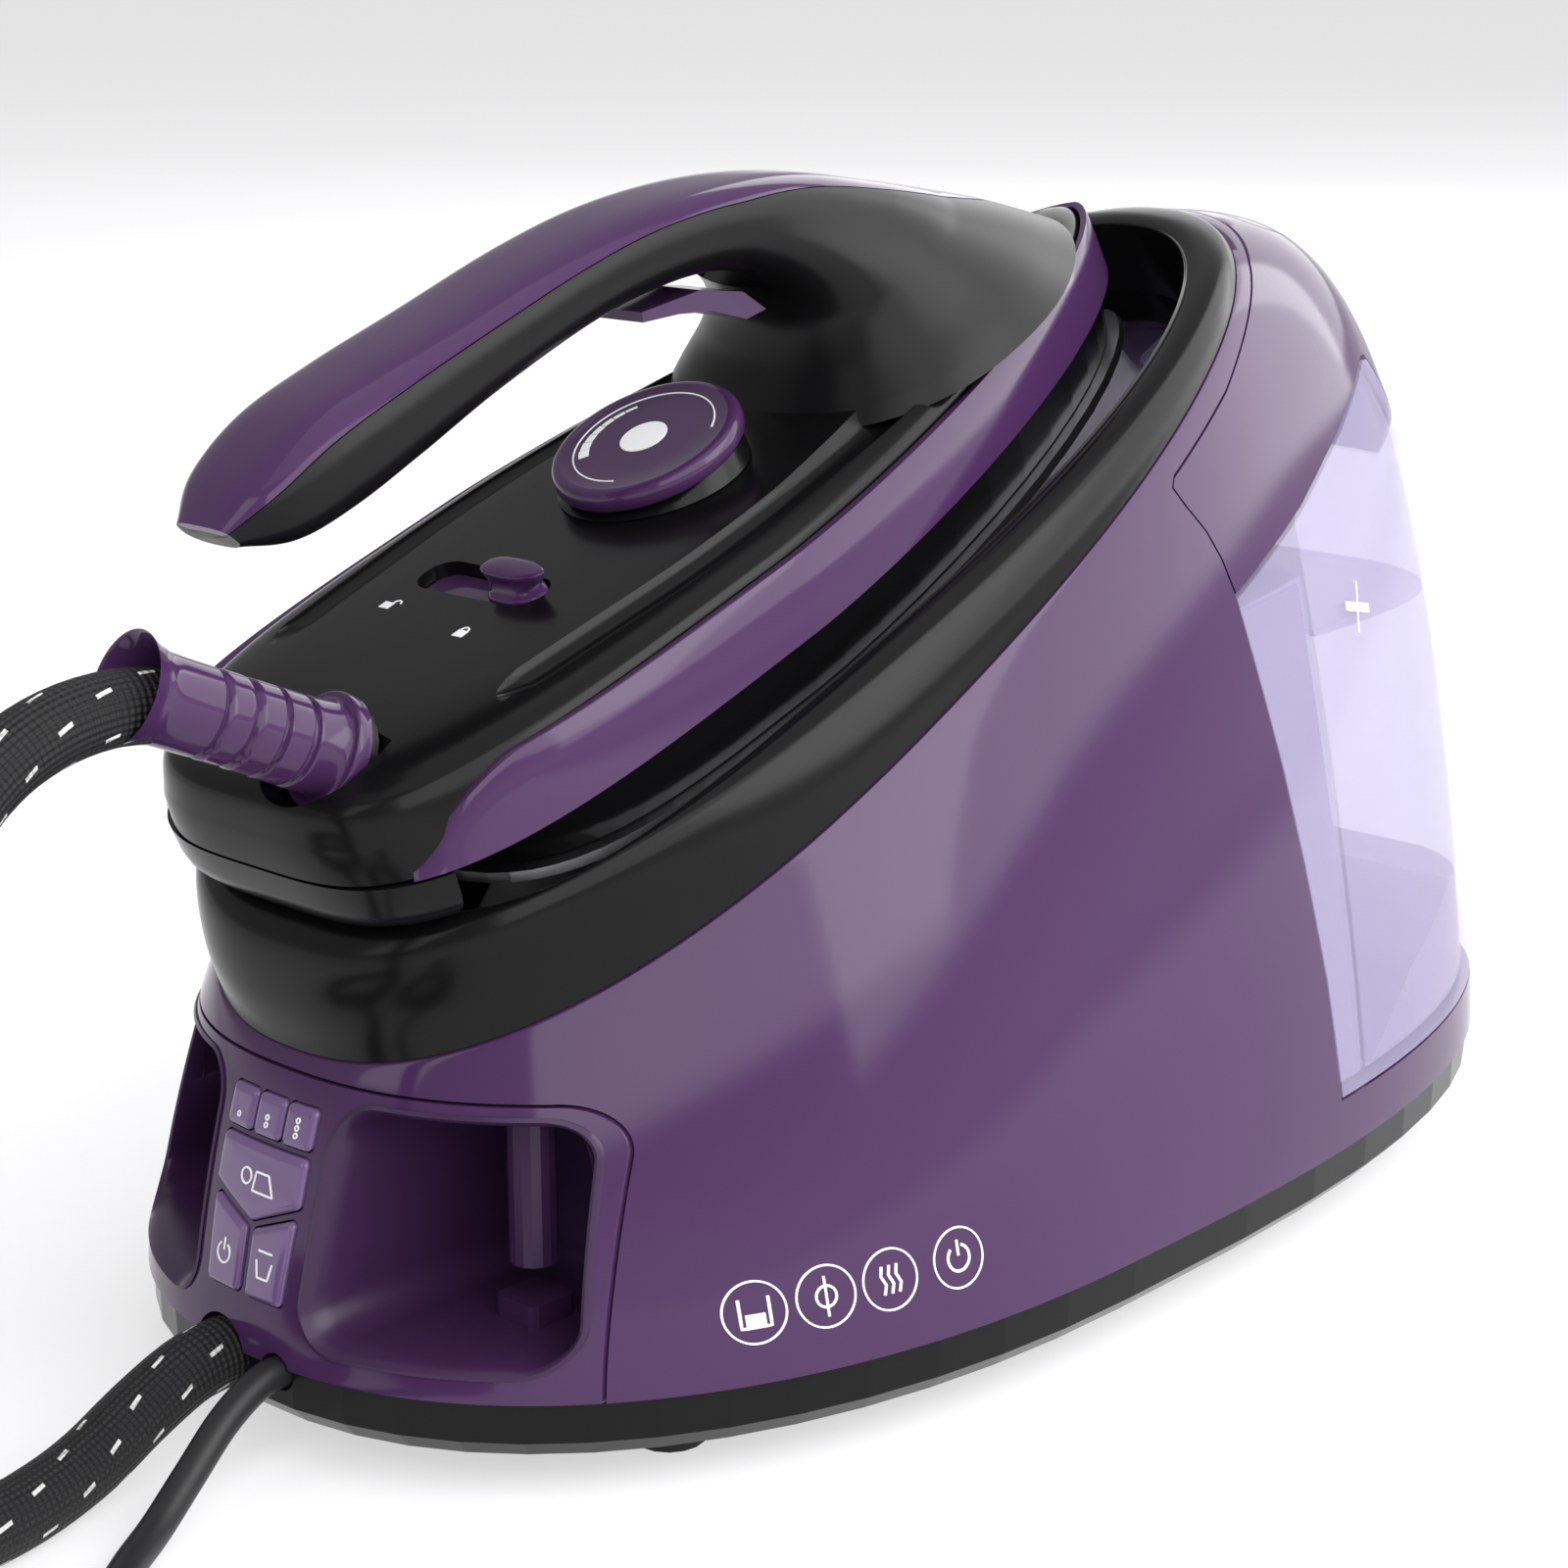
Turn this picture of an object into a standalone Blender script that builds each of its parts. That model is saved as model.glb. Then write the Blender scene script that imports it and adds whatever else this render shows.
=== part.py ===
"""Steam generator iron: a station with boiler, pump, removable tank and hose, and the iron resting on it.

Frame: metres, +X right, +Y from the control panel to the water tank, +Z up.
The origin is on the floor under the middle of the station.
"""

import math

import bmesh
import bpy
import numpy as np
from mathutils import Matrix, Vector

# Fits and walls
GAP = 0.0004  # clearance between two touching pieces
WALL = 0.0025  # moulded shell thickness
AROUND = 56  # points around the station's outlines

# Station: the foot outline where the shell meets the tray, and the sloping rim under the iron
HALF_LENGTH = 0.200
HALF_WIDTH = 0.1096
SHELL_FOOT = 0.0221
WIDEST_Y = -0.0345
RIM_FRONT = (-0.1831, 0.0842)  # y, z of the rim's low front end
RIM_LENGTH = 0.3313
RIM_HALF_WIDTH = 0.0752
RIM_TILT = math.radians(27.55)
FOOT_HEIGHT = 0.0052
LEDGE_Z = 0.0340  # top of the sill that carries the tank

# Tank seam seen from the side, as y, z, from the rim's rear down to the ledge
SEAM = [
    (0.150, 0.2560), (0.0975, 0.2282), (0.0557, 0.2023), (0.0244, 0.1866), (0.0225, 0.1840),
    (0.0259, 0.1795), (0.0319, 0.1729), (0.0359, 0.1660), (0.0388, 0.1576), (0.0415, 0.1421),
    (0.0458, 0.1175), (0.0490, 0.0922), (0.0518, 0.0640), (0.0528, LEDGE_Z),
]  # fmt: skip
COVER_EDGE = [(0.0388, 0.1570), (0.0791, 0.1712), (0.1116, 0.1858), (0.1401, 0.2000), (0.230, 0.2000)]
TONGUE = [(-0.044, 0.214), (0.044, 0.214), (0.040, 0.186), (0.024, 0.168), (-0.024, 0.168), (-0.040, 0.186)]
TANK_WALL = 0.0030
PARTITION_LOW = (0.0680, 0.0300)
PARTITION_HIGH = (0.0775, 0.1900)

# Iron: its own frame starts at the nose, runs p towards the heel and h away from the soleplate
IRON_TILT = math.radians(20.5)
NOSE = Vector((0.0, 0.0833, 0.2276))
IRON_LENGTH = 0.292
IRON_HALF_WIDTH = 0.0571
IRON_WIDEST = 0.178
SOLE_LOW = -0.0185
SOLE_END = 0.2640
SOLE_HIGH = -0.0150
DECK = 0.0213
BAND_HEIGHT = 0.0165
RIDGE = [
    (0.0235, 0.0225), (0.033, 0.0290), (0.045, 0.0368), (0.060, 0.0455), (0.080, 0.0565), (0.102, 0.0680),
    (0.125, 0.0760), (0.150, 0.0812), (0.175, 0.0830), (0.205, 0.0828), (0.230, 0.0826), (0.250, 0.0812),
    (0.266, 0.0762), (0.276, 0.0700),
]  # fmt: skip
UNDERSIDE = [
    (0.1330, 0.0220), (0.1270, 0.0265), (0.1215, 0.0325), (0.1190, 0.0400), (0.1220, 0.0480),
    (0.1310, 0.0560), (0.143, 0.0610), (0.160, 0.0640), (0.179, 0.0650), (0.206, 0.0635),
    (0.229, 0.0608), (0.248, 0.0590), (0.262, 0.0595), (0.273, 0.0640),
]  # fmt: skip
GRIP_HALF_WIDTHS = [
    0.044, 0.040, 0.0345, 0.029, 0.0235, 0.0195, 0.018, 0.0175, 0.0175, 0.0175, 0.018, 0.0178,
    0.0155, 0.009,
]  # fmt: skip
DIAL_AT = (0.1614, 0.0313)
DIAL_TILT = math.radians(8.0)
DIAL_RADIUS = 0.0225
DIAL_THICK = 0.0055
LOCK_AT = (0.2124, 0.0065)  # p, x of the slider when locked
RELIEF_AT = (0.2730, 0.0130, 0.0183)  # p, x, h of the sleeve's flange
RELIEF_DIR = Vector((-0.108, -0.905, 0.411)).normalized()
RELIEF_LENGTH = 0.050

# Cords
HOSE_R = 0.0075
HOSE_EXIT = (-0.0065, -0.1960, 0.0195)
HOSE_COIL = (-0.042, -0.430)
HOSE_COIL_R = (0.064, 0.096)
HOSE_COIL_H = 0.031
HOSE_FROM_STATION = [
    HOSE_EXIT, (-0.0063, -0.2080, 0.0186), (-0.0045, -0.2220, 0.0146), (-0.0012, -0.2380, 0.0096),
    (0.0025, -0.2550, 0.0078), (0.0045, -0.2740, 0.0078), (0.0025, -0.2950, 0.0078),
    (-0.0065, -0.3170, 0.0078), (-0.0220, -0.3290, 0.0078),
]  # fmt: skip
HOSE_TO_IRON = [
    (0.0379, -0.4000, 0.0410), (0.0377, -0.3813, 0.0424), (0.0369, -0.3567, 0.0460),
    (0.0342, -0.3349, 0.0577), (0.0299, -0.3181, 0.0756), (0.0230, -0.2994, 0.1041),
    (0.0162, -0.2806, 0.1326), (0.0127, -0.2704, 0.1474), (0.0110, -0.2632, 0.1544),
    (0.0097, -0.2548, 0.1599), (0.0089, -0.2455, 0.1638), (0.0084, -0.2370, 0.1657),
]  # fmt: skip
MAINS_R = 0.0035
MAINS_EXIT = (0.0115, -0.1960, 0.0205)
MAINS_COIL = (0.090, -0.335)
MAINS_COIL_R = (0.0295, 0.0505)
MAINS_COIL_H = 0.014
MAINS_FROM_STATION = [
    MAINS_EXIT, (0.0120, -0.2040, 0.0200), (0.0145, -0.2150, 0.0162), (0.0185, -0.2270, 0.0100),
    (0.0235, -0.2390, 0.0050), (0.0304, -0.2510, 0.0037), (0.0400, -0.2630, 0.0037),
    (0.0530, -0.2740, 0.0037), (0.0660, -0.2790, 0.0037), (0.0820, -0.2805, 0.0037),
]  # fmt: skip
MAINS_TO_PLUG = [
    (0.1448, -0.3300, 0.0037), (0.1450, -0.3420, 0.0043), (0.1450, -0.3540, 0.0075),
    (0.1450, -0.3660, 0.0130), (0.1450, -0.3790, 0.0172), (0.1450, -0.3930, 0.0182),
]  # fmt: skip
PLUG_AT = Vector((0.1450, -0.3940, 0.0182))
PLUG_DIR = Vector((0.0, -1.0, 0.0))

COLOURS = {
    "purple": ((0.105, 0.045, 0.150, 1), 0.28, 0.0),
    "dark_purple": ((0.030, 0.012, 0.045, 1), 0.40, 0.0),
    "clear_purple": ((0.300, 0.200, 0.420, 1), 0.10, 0.0),
    "black": ((0.010, 0.010, 0.011, 1), 0.22, 0.0),
    "rubber": ((0.018, 0.018, 0.018, 1), 0.75, 0.0),
    "clear": ((0.780, 0.760, 0.880, 0.35), 0.08, 0.0),
    "steel": ((0.550, 0.550, 0.560, 1), 0.30, 1.0),
    "aluminium": ((0.620, 0.620, 0.630, 1), 0.40, 1.0),
    "brass": ((0.600, 0.450, 0.180, 1), 0.35, 1.0),
    "board": ((0.020, 0.120, 0.050, 1), 0.50, 0.0),
    "braid": ((0.020, 0.020, 0.022, 1), 0.85, 0.0),
}


def clear_scene():
    for existing in list(bpy.data.objects):
        bpy.data.objects.remove(existing, do_unlink=True)


def material(name):
    found = bpy.data.materials.get(name)
    if found:
        return found
    colour, roughness, metallic = COLOURS[name]
    made = bpy.data.materials.new(name)
    made.use_nodes = True
    shader = made.node_tree.nodes["Principled BSDF"]
    shader.inputs["Base Color"].default_value = colour
    shader.inputs["Roughness"].default_value = roughness
    shader.inputs["Metallic"].default_value = metallic
    shader.inputs["Alpha"].default_value = colour[3]
    return made


def add_mesh(name, points, faces, finish):
    """One object from points and faces, its faces turned outwards; no finish makes it a cutter."""
    mesh = bpy.data.meshes.new(name)
    mesh.from_pydata([tuple(map(float, p)) for p in points], [], faces)
    shape = bmesh.new()
    shape.from_mesh(mesh)
    bmesh.ops.recalc_face_normals(shape, faces=shape.faces)
    shape.to_mesh(mesh)
    shape.free()
    made = bpy.data.objects.new(name, mesh)
    bpy.context.scene.collection.objects.link(made)
    if finish:
        mesh.materials.append(material(finish))
        mesh.shade_smooth()
        mesh.set_sharp_from_angle(angle=math.radians(35))
    else:
        made.hide_render = True
        made.display_type = "WIRE"
    return made


def loft(name, rings, finish, wrap=False):
    """Quads between closed rings of equal count; wrap joins last to first, otherwise both ends close."""
    count = len(rings[0])
    points = [p for ring in rings for p in ring]
    last = len(rings) if wrap else len(rings) - 1
    faces = []
    for row in range(last):
        here, there = row * count, ((row + 1) % len(rings)) * count
        faces += [(here + i, here + (i + 1) % count, there + (i + 1) % count, there + i)
            for i in range(count)]
    if not wrap:
        for ring, start in ((rings[0], 0), (rings[-1], (len(rings) - 1) * count)):
            points.append(np.mean(np.asarray(ring, float), axis=0))
            faces += [(start + i, start + (i + 1) % count, len(points) - 1) for i in range(count)]
    return add_mesh(name, points, faces, finish)


def prism(name, outline, axis, low, high, finish=None):
    """A flat outline of two coordinates pushed along X, Y or Z; the outline keeps the other two
    axes in order."""
    places = {"X": (1, 2, 0), "Y": (0, 2, 1), "Z": (0, 1, 2)}[axis]
    rings = []
    for level in (low, high):
        ring = np.zeros((len(outline), 3))
        ring[:, places[0]] = [p[0] for p in outline]
        ring[:, places[1]] = [p[1] for p in outline]
        ring[:, places[2]] = level
        rings.append(ring)
    count = len(outline)
    faces = [(i, (i + 1) % count, count + (i + 1) % count, count + i) for i in range(count)]
    faces += [tuple(range(count)), tuple(range(count, 2 * count))]
    return add_mesh(name, np.vstack(rings), faces, finish)


def boolean(target, cutter, operation="DIFFERENCE"):
    step = target.modifiers.new(cutter.name, "BOOLEAN")
    step.operation = operation
    step.solver = "EXACT"
    step.object = cutter


def rounded(corners, radius, steps=4):
    """A polygon with each corner replaced by an arc that meets both sides."""
    outline = []
    for i, corner in enumerate(corners):
        here = np.asarray(corner, float)
        before = np.asarray(corners[i - 1], float) - here
        after = np.asarray(corners[(i + 1) % len(corners)], float) - here
        before /= np.linalg.norm(before)
        after /= np.linalg.norm(after)
        half = math.acos(float(np.clip(before @ after, -1, 1))) / 2
        inward = (before + after) / np.linalg.norm(before + after)
        centre = here + inward * radius / math.sin(half)
        start = here + before * radius / math.tan(half) - centre
        end = here + after * radius / math.tan(half) - centre
        for k in range(steps + 1):
            mixed = start * (1 - k / steps) + end * (k / steps)
            outline.append(centre + mixed / np.linalg.norm(mixed) * radius)
    return outline


def grown(outline, amount):
    """An outline moved outwards by an amount, point by point, about its own middle line."""
    points = np.asarray(outline, float)
    ahead, behind = np.roll(points, -1, axis=0), np.roll(points, 1, axis=0)
    along = ahead - behind
    normal = np.stack([along[:, 1], -along[:, 0]], axis=1)
    normal /= np.linalg.norm(normal, axis=1)[:, None]
    area = np.sum(points[:, 0] * ahead[:, 1] - ahead[:, 0] * points[:, 1])
    return points + normal * amount * (1 if area > 0 else -1)


def egg(front, widest, rear, half_width, front_power, rear_power, count=AROUND):
    """A closed outline of x and length: two half superellipses that share their widest line."""
    turn = np.linspace(0, 2 * np.pi, count, endpoint=False)
    c, s = np.cos(turn), np.sin(turn)
    power = np.where(c > 0, front_power, rear_power)
    reach = np.abs(c) ** (2 / power)
    length = np.where(c > 0, widest - (widest - front) * reach, widest + (rear - widest) * reach)
    x = half_width * np.sign(s) * np.abs(s) ** (2 / power)
    return np.stack([x, length], axis=1)


# ---------------------------------------------------------------- station surfaces


def rim_point(x, u, n):
    """A point of the rim's plane: u up the slope from its front, n above it."""
    c, s = math.cos(RIM_TILT), math.sin(RIM_TILT)
    return np.stack([x, RIM_FRONT[0] + u * c - n * s, RIM_FRONT[1] + u * s + n * c], axis=-1)


def foot_ring(inset, z):
    outline = egg(-HALF_LENGTH + inset, WIDEST_Y, HALF_LENGTH - inset, HALF_WIDTH - inset, 2.228, 2.628)
    return np.column_stack([outline, np.full(AROUND, z)])


def rim_ring(u_front, u_rear, half_width, n_front, n_rear):
    widest = u_front + 0.41 * (u_rear - u_front)
    outline = egg(u_front, widest, u_rear, half_width, 2.386, 2.159)
    share = (outline[:, 1] - u_front) / (u_rear - u_front)
    return rim_point(outline[:, 0], outline[:, 1], n_front + (n_rear - n_front) * share)


def station_rings(inset, levels=11):
    """Rings of the outer skin from foot to rim: a superelliptic bulge that is fuller at the rear."""
    foot = foot_ring(inset, SHELL_FOOT)
    rim = rim_ring(inset, RIM_LENGTH - inset, RIM_HALF_WIDTH - inset, 0.0, 0.0)
    turn = np.linspace(0, 2 * np.pi, AROUND, endpoint=False)
    fuller = np.where(np.cos(turn) < 0, np.abs(np.cos(turn)) ** 8, 0.0)
    power = 1.2 + 1.5 * fuller
    rings = []
    for q in np.linspace(0, 1, levels):
        out = max(math.cos(q * math.pi / 2), 0.0) ** (2 / power)
        up = math.sin(q * math.pi / 2) ** (2 / power)
        ring = rim + (foot - rim) * out[:, None]
        ring[:, 2] = SHELL_FOOT + (rim[:, 2] - SHELL_FOOT) * up
        rings.append(rim.copy() if q == 1 else ring)
    return rings


def station_solid(name, inset):
    return loft(name, station_rings(inset), None)


def station_skin(name, finish):
    return loft(name, station_rings(0.0) + station_rings(WALL)[::-1], finish, wrap=True)


# ---------------------------------------------------------------- station pieces


def make_tray_and_feet():
    outer = [
        foot_ring(0.013, FOOT_HEIGHT + GAP),
        foot_ring(0.0050, 0.0088),
        foot_ring(0.0012, 0.0130),
        foot_ring(0.0010, SHELL_FOOT - GAP),
    ]
    inner = [foot_ring(0.0045, SHELL_FOOT - GAP), foot_ring(0.0085, 0.0105), foot_ring(0.0150, 0.0085)]
    tray = loft("base_tray", outer + inner, "black")
    for corner, (x, y) in enumerate([(0.062, -0.135), (-0.062, -0.135), (0.070, 0.105), (-0.070, 0.105)], 1):
        circle = [(x + 0.008 * math.cos(a), y + 0.008 * math.sin(a)) for a in np.linspace(0,
            2 * np.pi, 16, False)]
        prism(f"foot_{corner}", circle, "Z", 0.0, FOOT_HEIGHT, "rubber")
    return tray


def panel_outline(inset=0.0):
    corners = [(0.0750, 0.010), (0.0690, 0.0812), (-0.0690, 0.0812), (-0.0750, 0.010)]
    return grown(rounded(corners, 0.012), -inset)


def bay_outline(side, inset=0.0):
    corners = [(0.0180, 0.0785), (0.0655, 0.0785), (0.0712, 0.0272), (0.0165, 0.0272)]
    return [(side * x, z) for x, z in grown(rounded(corners, 0.0100), -inset)]


def key_outlines():
    """Panel pieces as x, z outlines: three steam level lamps, the steam key, and the two lower keys."""
    keys = {}
    for name, x in (("lamp_low", -0.0093), ("lamp_medium", 0.0), ("lamp_high", 0.0093)):
        keys[name] = rounded([(x - 0.0043, 0.0668), (x + 0.0043, 0.0668), (x + 0.0043, 0.0752),
            (x - 0.0043, 0.0752)], 0.0012, 2)
    steam = [(-0.0136, 0.0553), (0.0, 0.0497), (0.0136, 0.0553), (0.0136, 0.0652), (-0.0136, 0.0652)]
    keys["key_steam"] = rounded(steam, 0.0012, 2)
    for name, side in (("key_power", -1), ("key_descale", 1)):
        lower = [(0.0010, 0.0345), (0.0120, 0.0345), (0.0132, 0.0530), (0.0010, 0.0482)]
        keys[name] = rounded([(side * x, z) for x, z in lower], 0.0012, 2)
    return keys


def make_shell_panel_and_keys(tray):
    shell = station_skin("main_shell", "purple")
    panel = station_skin("front_panel", "purple")
    boolean(shell, prism("cut_panel", panel_outline(), "Y", -0.26, -0.10))
    tank_side = SEAM + [(0.26, LEDGE_Z), (0.26, 0.2560)]
    boolean(shell, prism("cut_tank_side", tank_side, "X", -0.2, 0.2))
    boolean(panel, prism("keep_panel", panel_outline(GAP), "Y", -0.26, -0.10), "INTERSECT")
    for side, word in ((1, "right"), (-1, "left")):
        boolean(panel, prism(f"cut_bay_{word}", bay_outline(side), "Y", -0.26, -0.12))
        make_bay(side, word)
    for name, outline in key_outlines().items():
        boolean(panel, prism(f"cut_{name}", grown(outline, GAP), "Y", -0.26, -0.12))
        key = prism(name, outline, "Y", -0.26, -0.1785, "clear_purple")
        boolean(key, station_solid(f"face_{name}", -0.0012), "INTERSECT")
    for word, centre, radius in (("hose", HOSE_EXIT, 0.0086), ("mains", MAINS_EXIT, 0.0043)):
        for target in (panel, tray):
            boolean(target, tube_cutter(f"notch_{word}_{target.name}", centre, radius, 0.030))
        deep = Vector(centre) + Vector((0, 0.004, 0))
        turned(f"{word}_gland", deep, Vector((0, 1, 0)), [(radius - 0.0006, 0.0),
            (radius - 0.0006, 0.020)], "rubber", 16)
    return shell


def tube_cutter(name, centre, radius, reach):
    x, y, z = centre
    circle = [(x + radius * math.cos(a), z + radius * math.sin(a)) for a in np.linspace(0,
        2 * np.pi, 16, False)]
    return prism(name, circle, "Y", y - reach, y + reach)


def make_bay(side, word):
    """An open-fronted box for the wound cord, with a peg from its ceiling and a block on its floor."""
    bay = prism(f"cord_bay_{word}", bay_outline(side, GAP), "Y", -0.26, -0.1330, "dark_purple")
    boolean(bay, station_solid(f"face_bay_{word}", 0.0004), "INTERSECT")
    boolean(bay, prism(f"hollow_bay_{word}", bay_outline(side, GAP + 0.0018), "Y", -0.27, -0.1350))
    x, y = side * 0.045, -0.1570
    peg = [(x + 0.0052 * math.cos(a), y + 0.0052 * math.sin(a)) for a in np.linspace(0,
        2 * np.pi, 16, False)]
    prism(f"cord_peg_{word}", peg, "Z", 0.0425, 0.0758, "dark_purple")
    block = rounded([(x - 0.006, y - 0.006), (x + 0.006, y - 0.006), (x + 0.006, y + 0.006),
        (x - 0.006, y + 0.006)], 0.0015, 2)
    prism(f"cord_block_{word}", block, "Z", 0.0299, 0.0350, "dark_purple")


def collar_ring(share, n_front, n_rear):
    """A ring of the collar: share 0 is its outer edge, 1 the edge of the opening, whose front is squarer."""
    outer = egg(0.0004, 0.1361, 0.3309, 0.0748, 2.386, 2.159)
    opening = egg(0.0255, 0.1437, 0.3165, 0.0625, 4.0, 2.159)
    outline = outer + (opening - outer) * share
    along = (outline[:, 1] - 0.0004) / 0.3305
    return rim_point(outline[:, 0], outline[:, 1], n_front + (n_rear - n_front) * along)


def make_rest_collar():
    """A black dish: its edge covers the shell's rim, its crest rises at the front, its floor lies
    under the soleplate."""
    rings = [
        collar_ring(1.16, 0.0065, -0.0245),
        collar_ring(0.90, 0.0215, -0.0005),
        collar_ring(0.60, 0.0225, 0.0005),
        collar_ring(0.42, 0.0100, -0.0028),
        collar_ring(0.30, -0.0028, -0.0028),
        collar_ring(0.30, 0.0004, 0.0004),
        collar_ring(0.0, 0.0004, 0.0004),
        collar_ring(0.10, 0.0120, 0.0020),
        collar_ring(0.34, 0.0225, 0.0030),
        collar_ring(0.64, 0.0268, 0.0034),
        collar_ring(0.90, 0.0268, 0.0030),
        collar_ring(1.0, 0.0240, 0.0018),
        collar_ring(1.09, 0.0095, -0.0220),
    ]
    loft("rest_collar", rings, "black")
    for side, word in ((1, "right"), (-1, "left")):
        pad = [iron_point(p, side * x, h) for h in (SOLE_LOW - 0.0035, SOLE_LOW - GAP) for p, x in
               ((0.205, 0.012), (0.245, 0.012), (0.245, 0.030), (0.205, 0.030))]  # fmt: skip
        loft(f"rest_pad_{word}", [pad[:4], pad[4:]], "rubber")
    catch = [iron_point(p, x, h) for h in (SOLE_LOW - 0.0035, SOLE_LOW - 0.0010) for p, x in
             ((0.020, -0.006), (0.050, -0.006), (0.050, 0.006), (0.020, 0.006))]  # fmt: skip
    loft("lock_catch", [catch[:4], catch[4:]], "purple")


def make_tank():
    """The clear tank, its partition, its lid plate, the purple cover with its filler flap, and the
    outlet valve."""
    seam = [(y + GAP, z - GAP) for y, z in SEAM[7:]]
    seam[-1] = (0.0528 + GAP, LEDGE_Z + GAP)
    side = seam[2:] + [(0.26, LEDGE_Z + GAP)] + [(y, z - GAP) for y, z in COVER_EDGE[:0:-1]]
    side.append((COVER_EDGE[0][0] + GAP, COVER_EDGE[0][1] - GAP))
    tank = station_solid("tank_shell", 0.0)
    tank.hide_render = False
    tank.display_type = "TEXTURED"
    tank.data.materials.append(material("clear"))
    boolean(tank, prism("keep_tank", side, "X", -0.2, 0.2), "INTERSECT")
    tongue_hole = loft("tongue_hole", station_rings(-0.002) + station_rings(0.0014 + GAP)[::-1],
        None, wrap=True)
    boolean(tongue_hole, prism("tongue_space", grown(TONGUE, GAP), "Y", 0.12, 0.24), "INTERSECT")
    boolean(tank, tongue_hole)
    front = np.asarray([PARTITION_LOW, PARTITION_HIGH])
    wall = TANK_WALL
    rear_space = [(front[0][0] + wall, LEDGE_Z + GAP + wall), (front[1][0] + wall, front[1][1]),
        (0.10, 0.28), (0.26, 0.28), (0.26, LEDGE_Z + GAP + wall)]
    front_space = [(0.0, LEDGE_Z + GAP + wall), (0.0, 0.150), (front[1][0] - 0.0022, 0.1560),
        (front[0][0], LEDGE_Z + GAP + wall)]
    for name, space in (("tank_water_space", rear_space), ("tank_front_space", front_space)):
        hollow = station_solid(name, wall)
        boolean(hollow, prism(f"keep_{name}", space, "X", -0.2, 0.2), "INTERSECT")
        boolean(tank, hollow)

    cover = station_skin("tank_cover", "purple")
    upper = [(y, z - GAP) for y, z in SEAM[:4]] + [(y + GAP, z) for y, z in SEAM[4:9]]
    cover_side = upper + [(y, z + GAP) for y, z in COVER_EDGE[1:]] + [(0.26, 0.2550)]
    boolean(cover, prism("keep_cover", cover_side, "X", -0.2, 0.2), "INTERSECT")
    tongue = loft("tongue", station_rings(0.0) + station_rings(0.0014)[::-1], None, wrap=True)
    boolean(tongue, prism("keep_tongue", TONGUE, "Y", 0.12, 0.24), "INTERSECT")
    boolean(cover, tongue, "UNION")
    flap_outline = rounded([(-0.022, 0.122), (0.022, 0.122), (0.022, 0.152), (-0.022, 0.152)], 0.005, 3)
    boolean(cover, prism("cut_flap", grown(flap_outline, GAP), "Z", 0.212, 0.28))
    flap = station_skin("filler_flap", "purple")
    boolean(flap, prism("keep_flap", flap_outline, "Z", 0.212, 0.28), "INTERSECT")

    lid = station_solid("tank_lid", WALL + GAP)
    lid.hide_render = False
    lid.display_type = "TEXTURED"
    lid.data.materials.append(material("clear"))
    under = [(y, z + GAP) for y, z in COVER_EDGE[:4]] + [(0.190, 0.2000 + GAP)]
    plate = under + [(y, z + 0.0020) for y, z in under[::-1]]
    boolean(lid, prism("keep_lid", plate, "X", -0.2, 0.2), "INTERSECT")
    boolean(lid, prism("cut_filler", rounded([(-0.018, 0.124), (0.018, 0.124), (0.018, 0.148),
        (-0.018, 0.148)], 0.004, 2), "Z", 0.10, 0.28))
    turned("tank_valve", Vector((0, 0.110, LEDGE_Z + GAP + wall + GAP)), Vector((0, 0, 1)),
        [(0.009, 0.0), (0.009, 0.004), (0.005, 0.012)], "rubber", 20)


def make_inside():
    """What the station holds: boiler, heater flange, pump, steam valve, boards and the wall in
    front of the tank."""
    wall_line = [(0.0495, SHELL_FOOT + GAP), (0.0480, 0.064), (0.0452, 0.0922), (0.0420,
        0.1175), (0.0382, 0.140)]
    bulkhead = station_solid("tank_bulkhead", WALL + GAP)
    bulkhead.hide_render = False
    bulkhead.display_type = "TEXTURED"
    bulkhead.data.materials.append(material("dark_purple"))
    thick = wall_line + [(y - 0.0020, z) for y, z in wall_line[::-1]]
    boolean(bulkhead, prism("keep_bulkhead", thick, "X", -0.2, 0.2), "INTERSECT")
    turned("boiler", Vector((-0.055, -0.062, 0.066)), Vector((1, 0, 0)),
           [(0.012, 0.0), (0.028, 0.003), (0.036, 0.012), (0.036, 0.098), (0.028, 0.107),
               (0.012, 0.110)], "aluminium", 28)  # fmt: skip
    turned("heater_flange", Vector((-0.0605, -0.062, 0.066)), Vector((1, 0, 0)), [(0.020, 0.0),
        (0.020, 0.005)], "brass", 20)
    turned("water_pump", Vector((-0.070, 0.008, 0.042)), Vector((1, 0, 0)),
           [(0.006, 0.0), (0.006, 0.010), (0.017, 0.012), (0.017, 0.048), (0.006, 0.050),
               (0.006, 0.060)], "steel", 20)  # fmt: skip
    valve = rounded([(0.028, -0.006), (0.062, -0.006), (0.062, 0.020), (0.028, 0.020)], 0.003, 2)
    prism("steam_valve", valve, "Z", 0.0300, 0.0560, "brass")
    board = rounded([(-0.050, -0.126), (0.050, -0.126), (0.050, -0.104), (-0.050, -0.104)], 0.002, 2)
    prism("power_board", board, "Z", 0.0120, 0.0140, "board")
    key_board = rounded([(-0.0150, 0.0320), (0.0150, 0.0320), (0.0150, 0.0770), (-0.0150, 0.0770)], 0.002, 2)
    prism("key_board", key_board, "Y", -0.1765, -0.1749, "board")


# ---------------------------------------------------------------- iron


def iron_point(p, x, h):
    c, s = math.cos(IRON_TILT), math.sin(IRON_TILT)
    return Vector((x, NOSE.y - p * c - h * s, NOSE.z - p * s + h * c))


def iron_outline(inset, nose=0.0, heel=IRON_LENGTH):
    return egg(nose + inset, IRON_WIDEST, heel - inset, IRON_HALF_WIDTH - inset, 1.52, 3.8)


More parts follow.
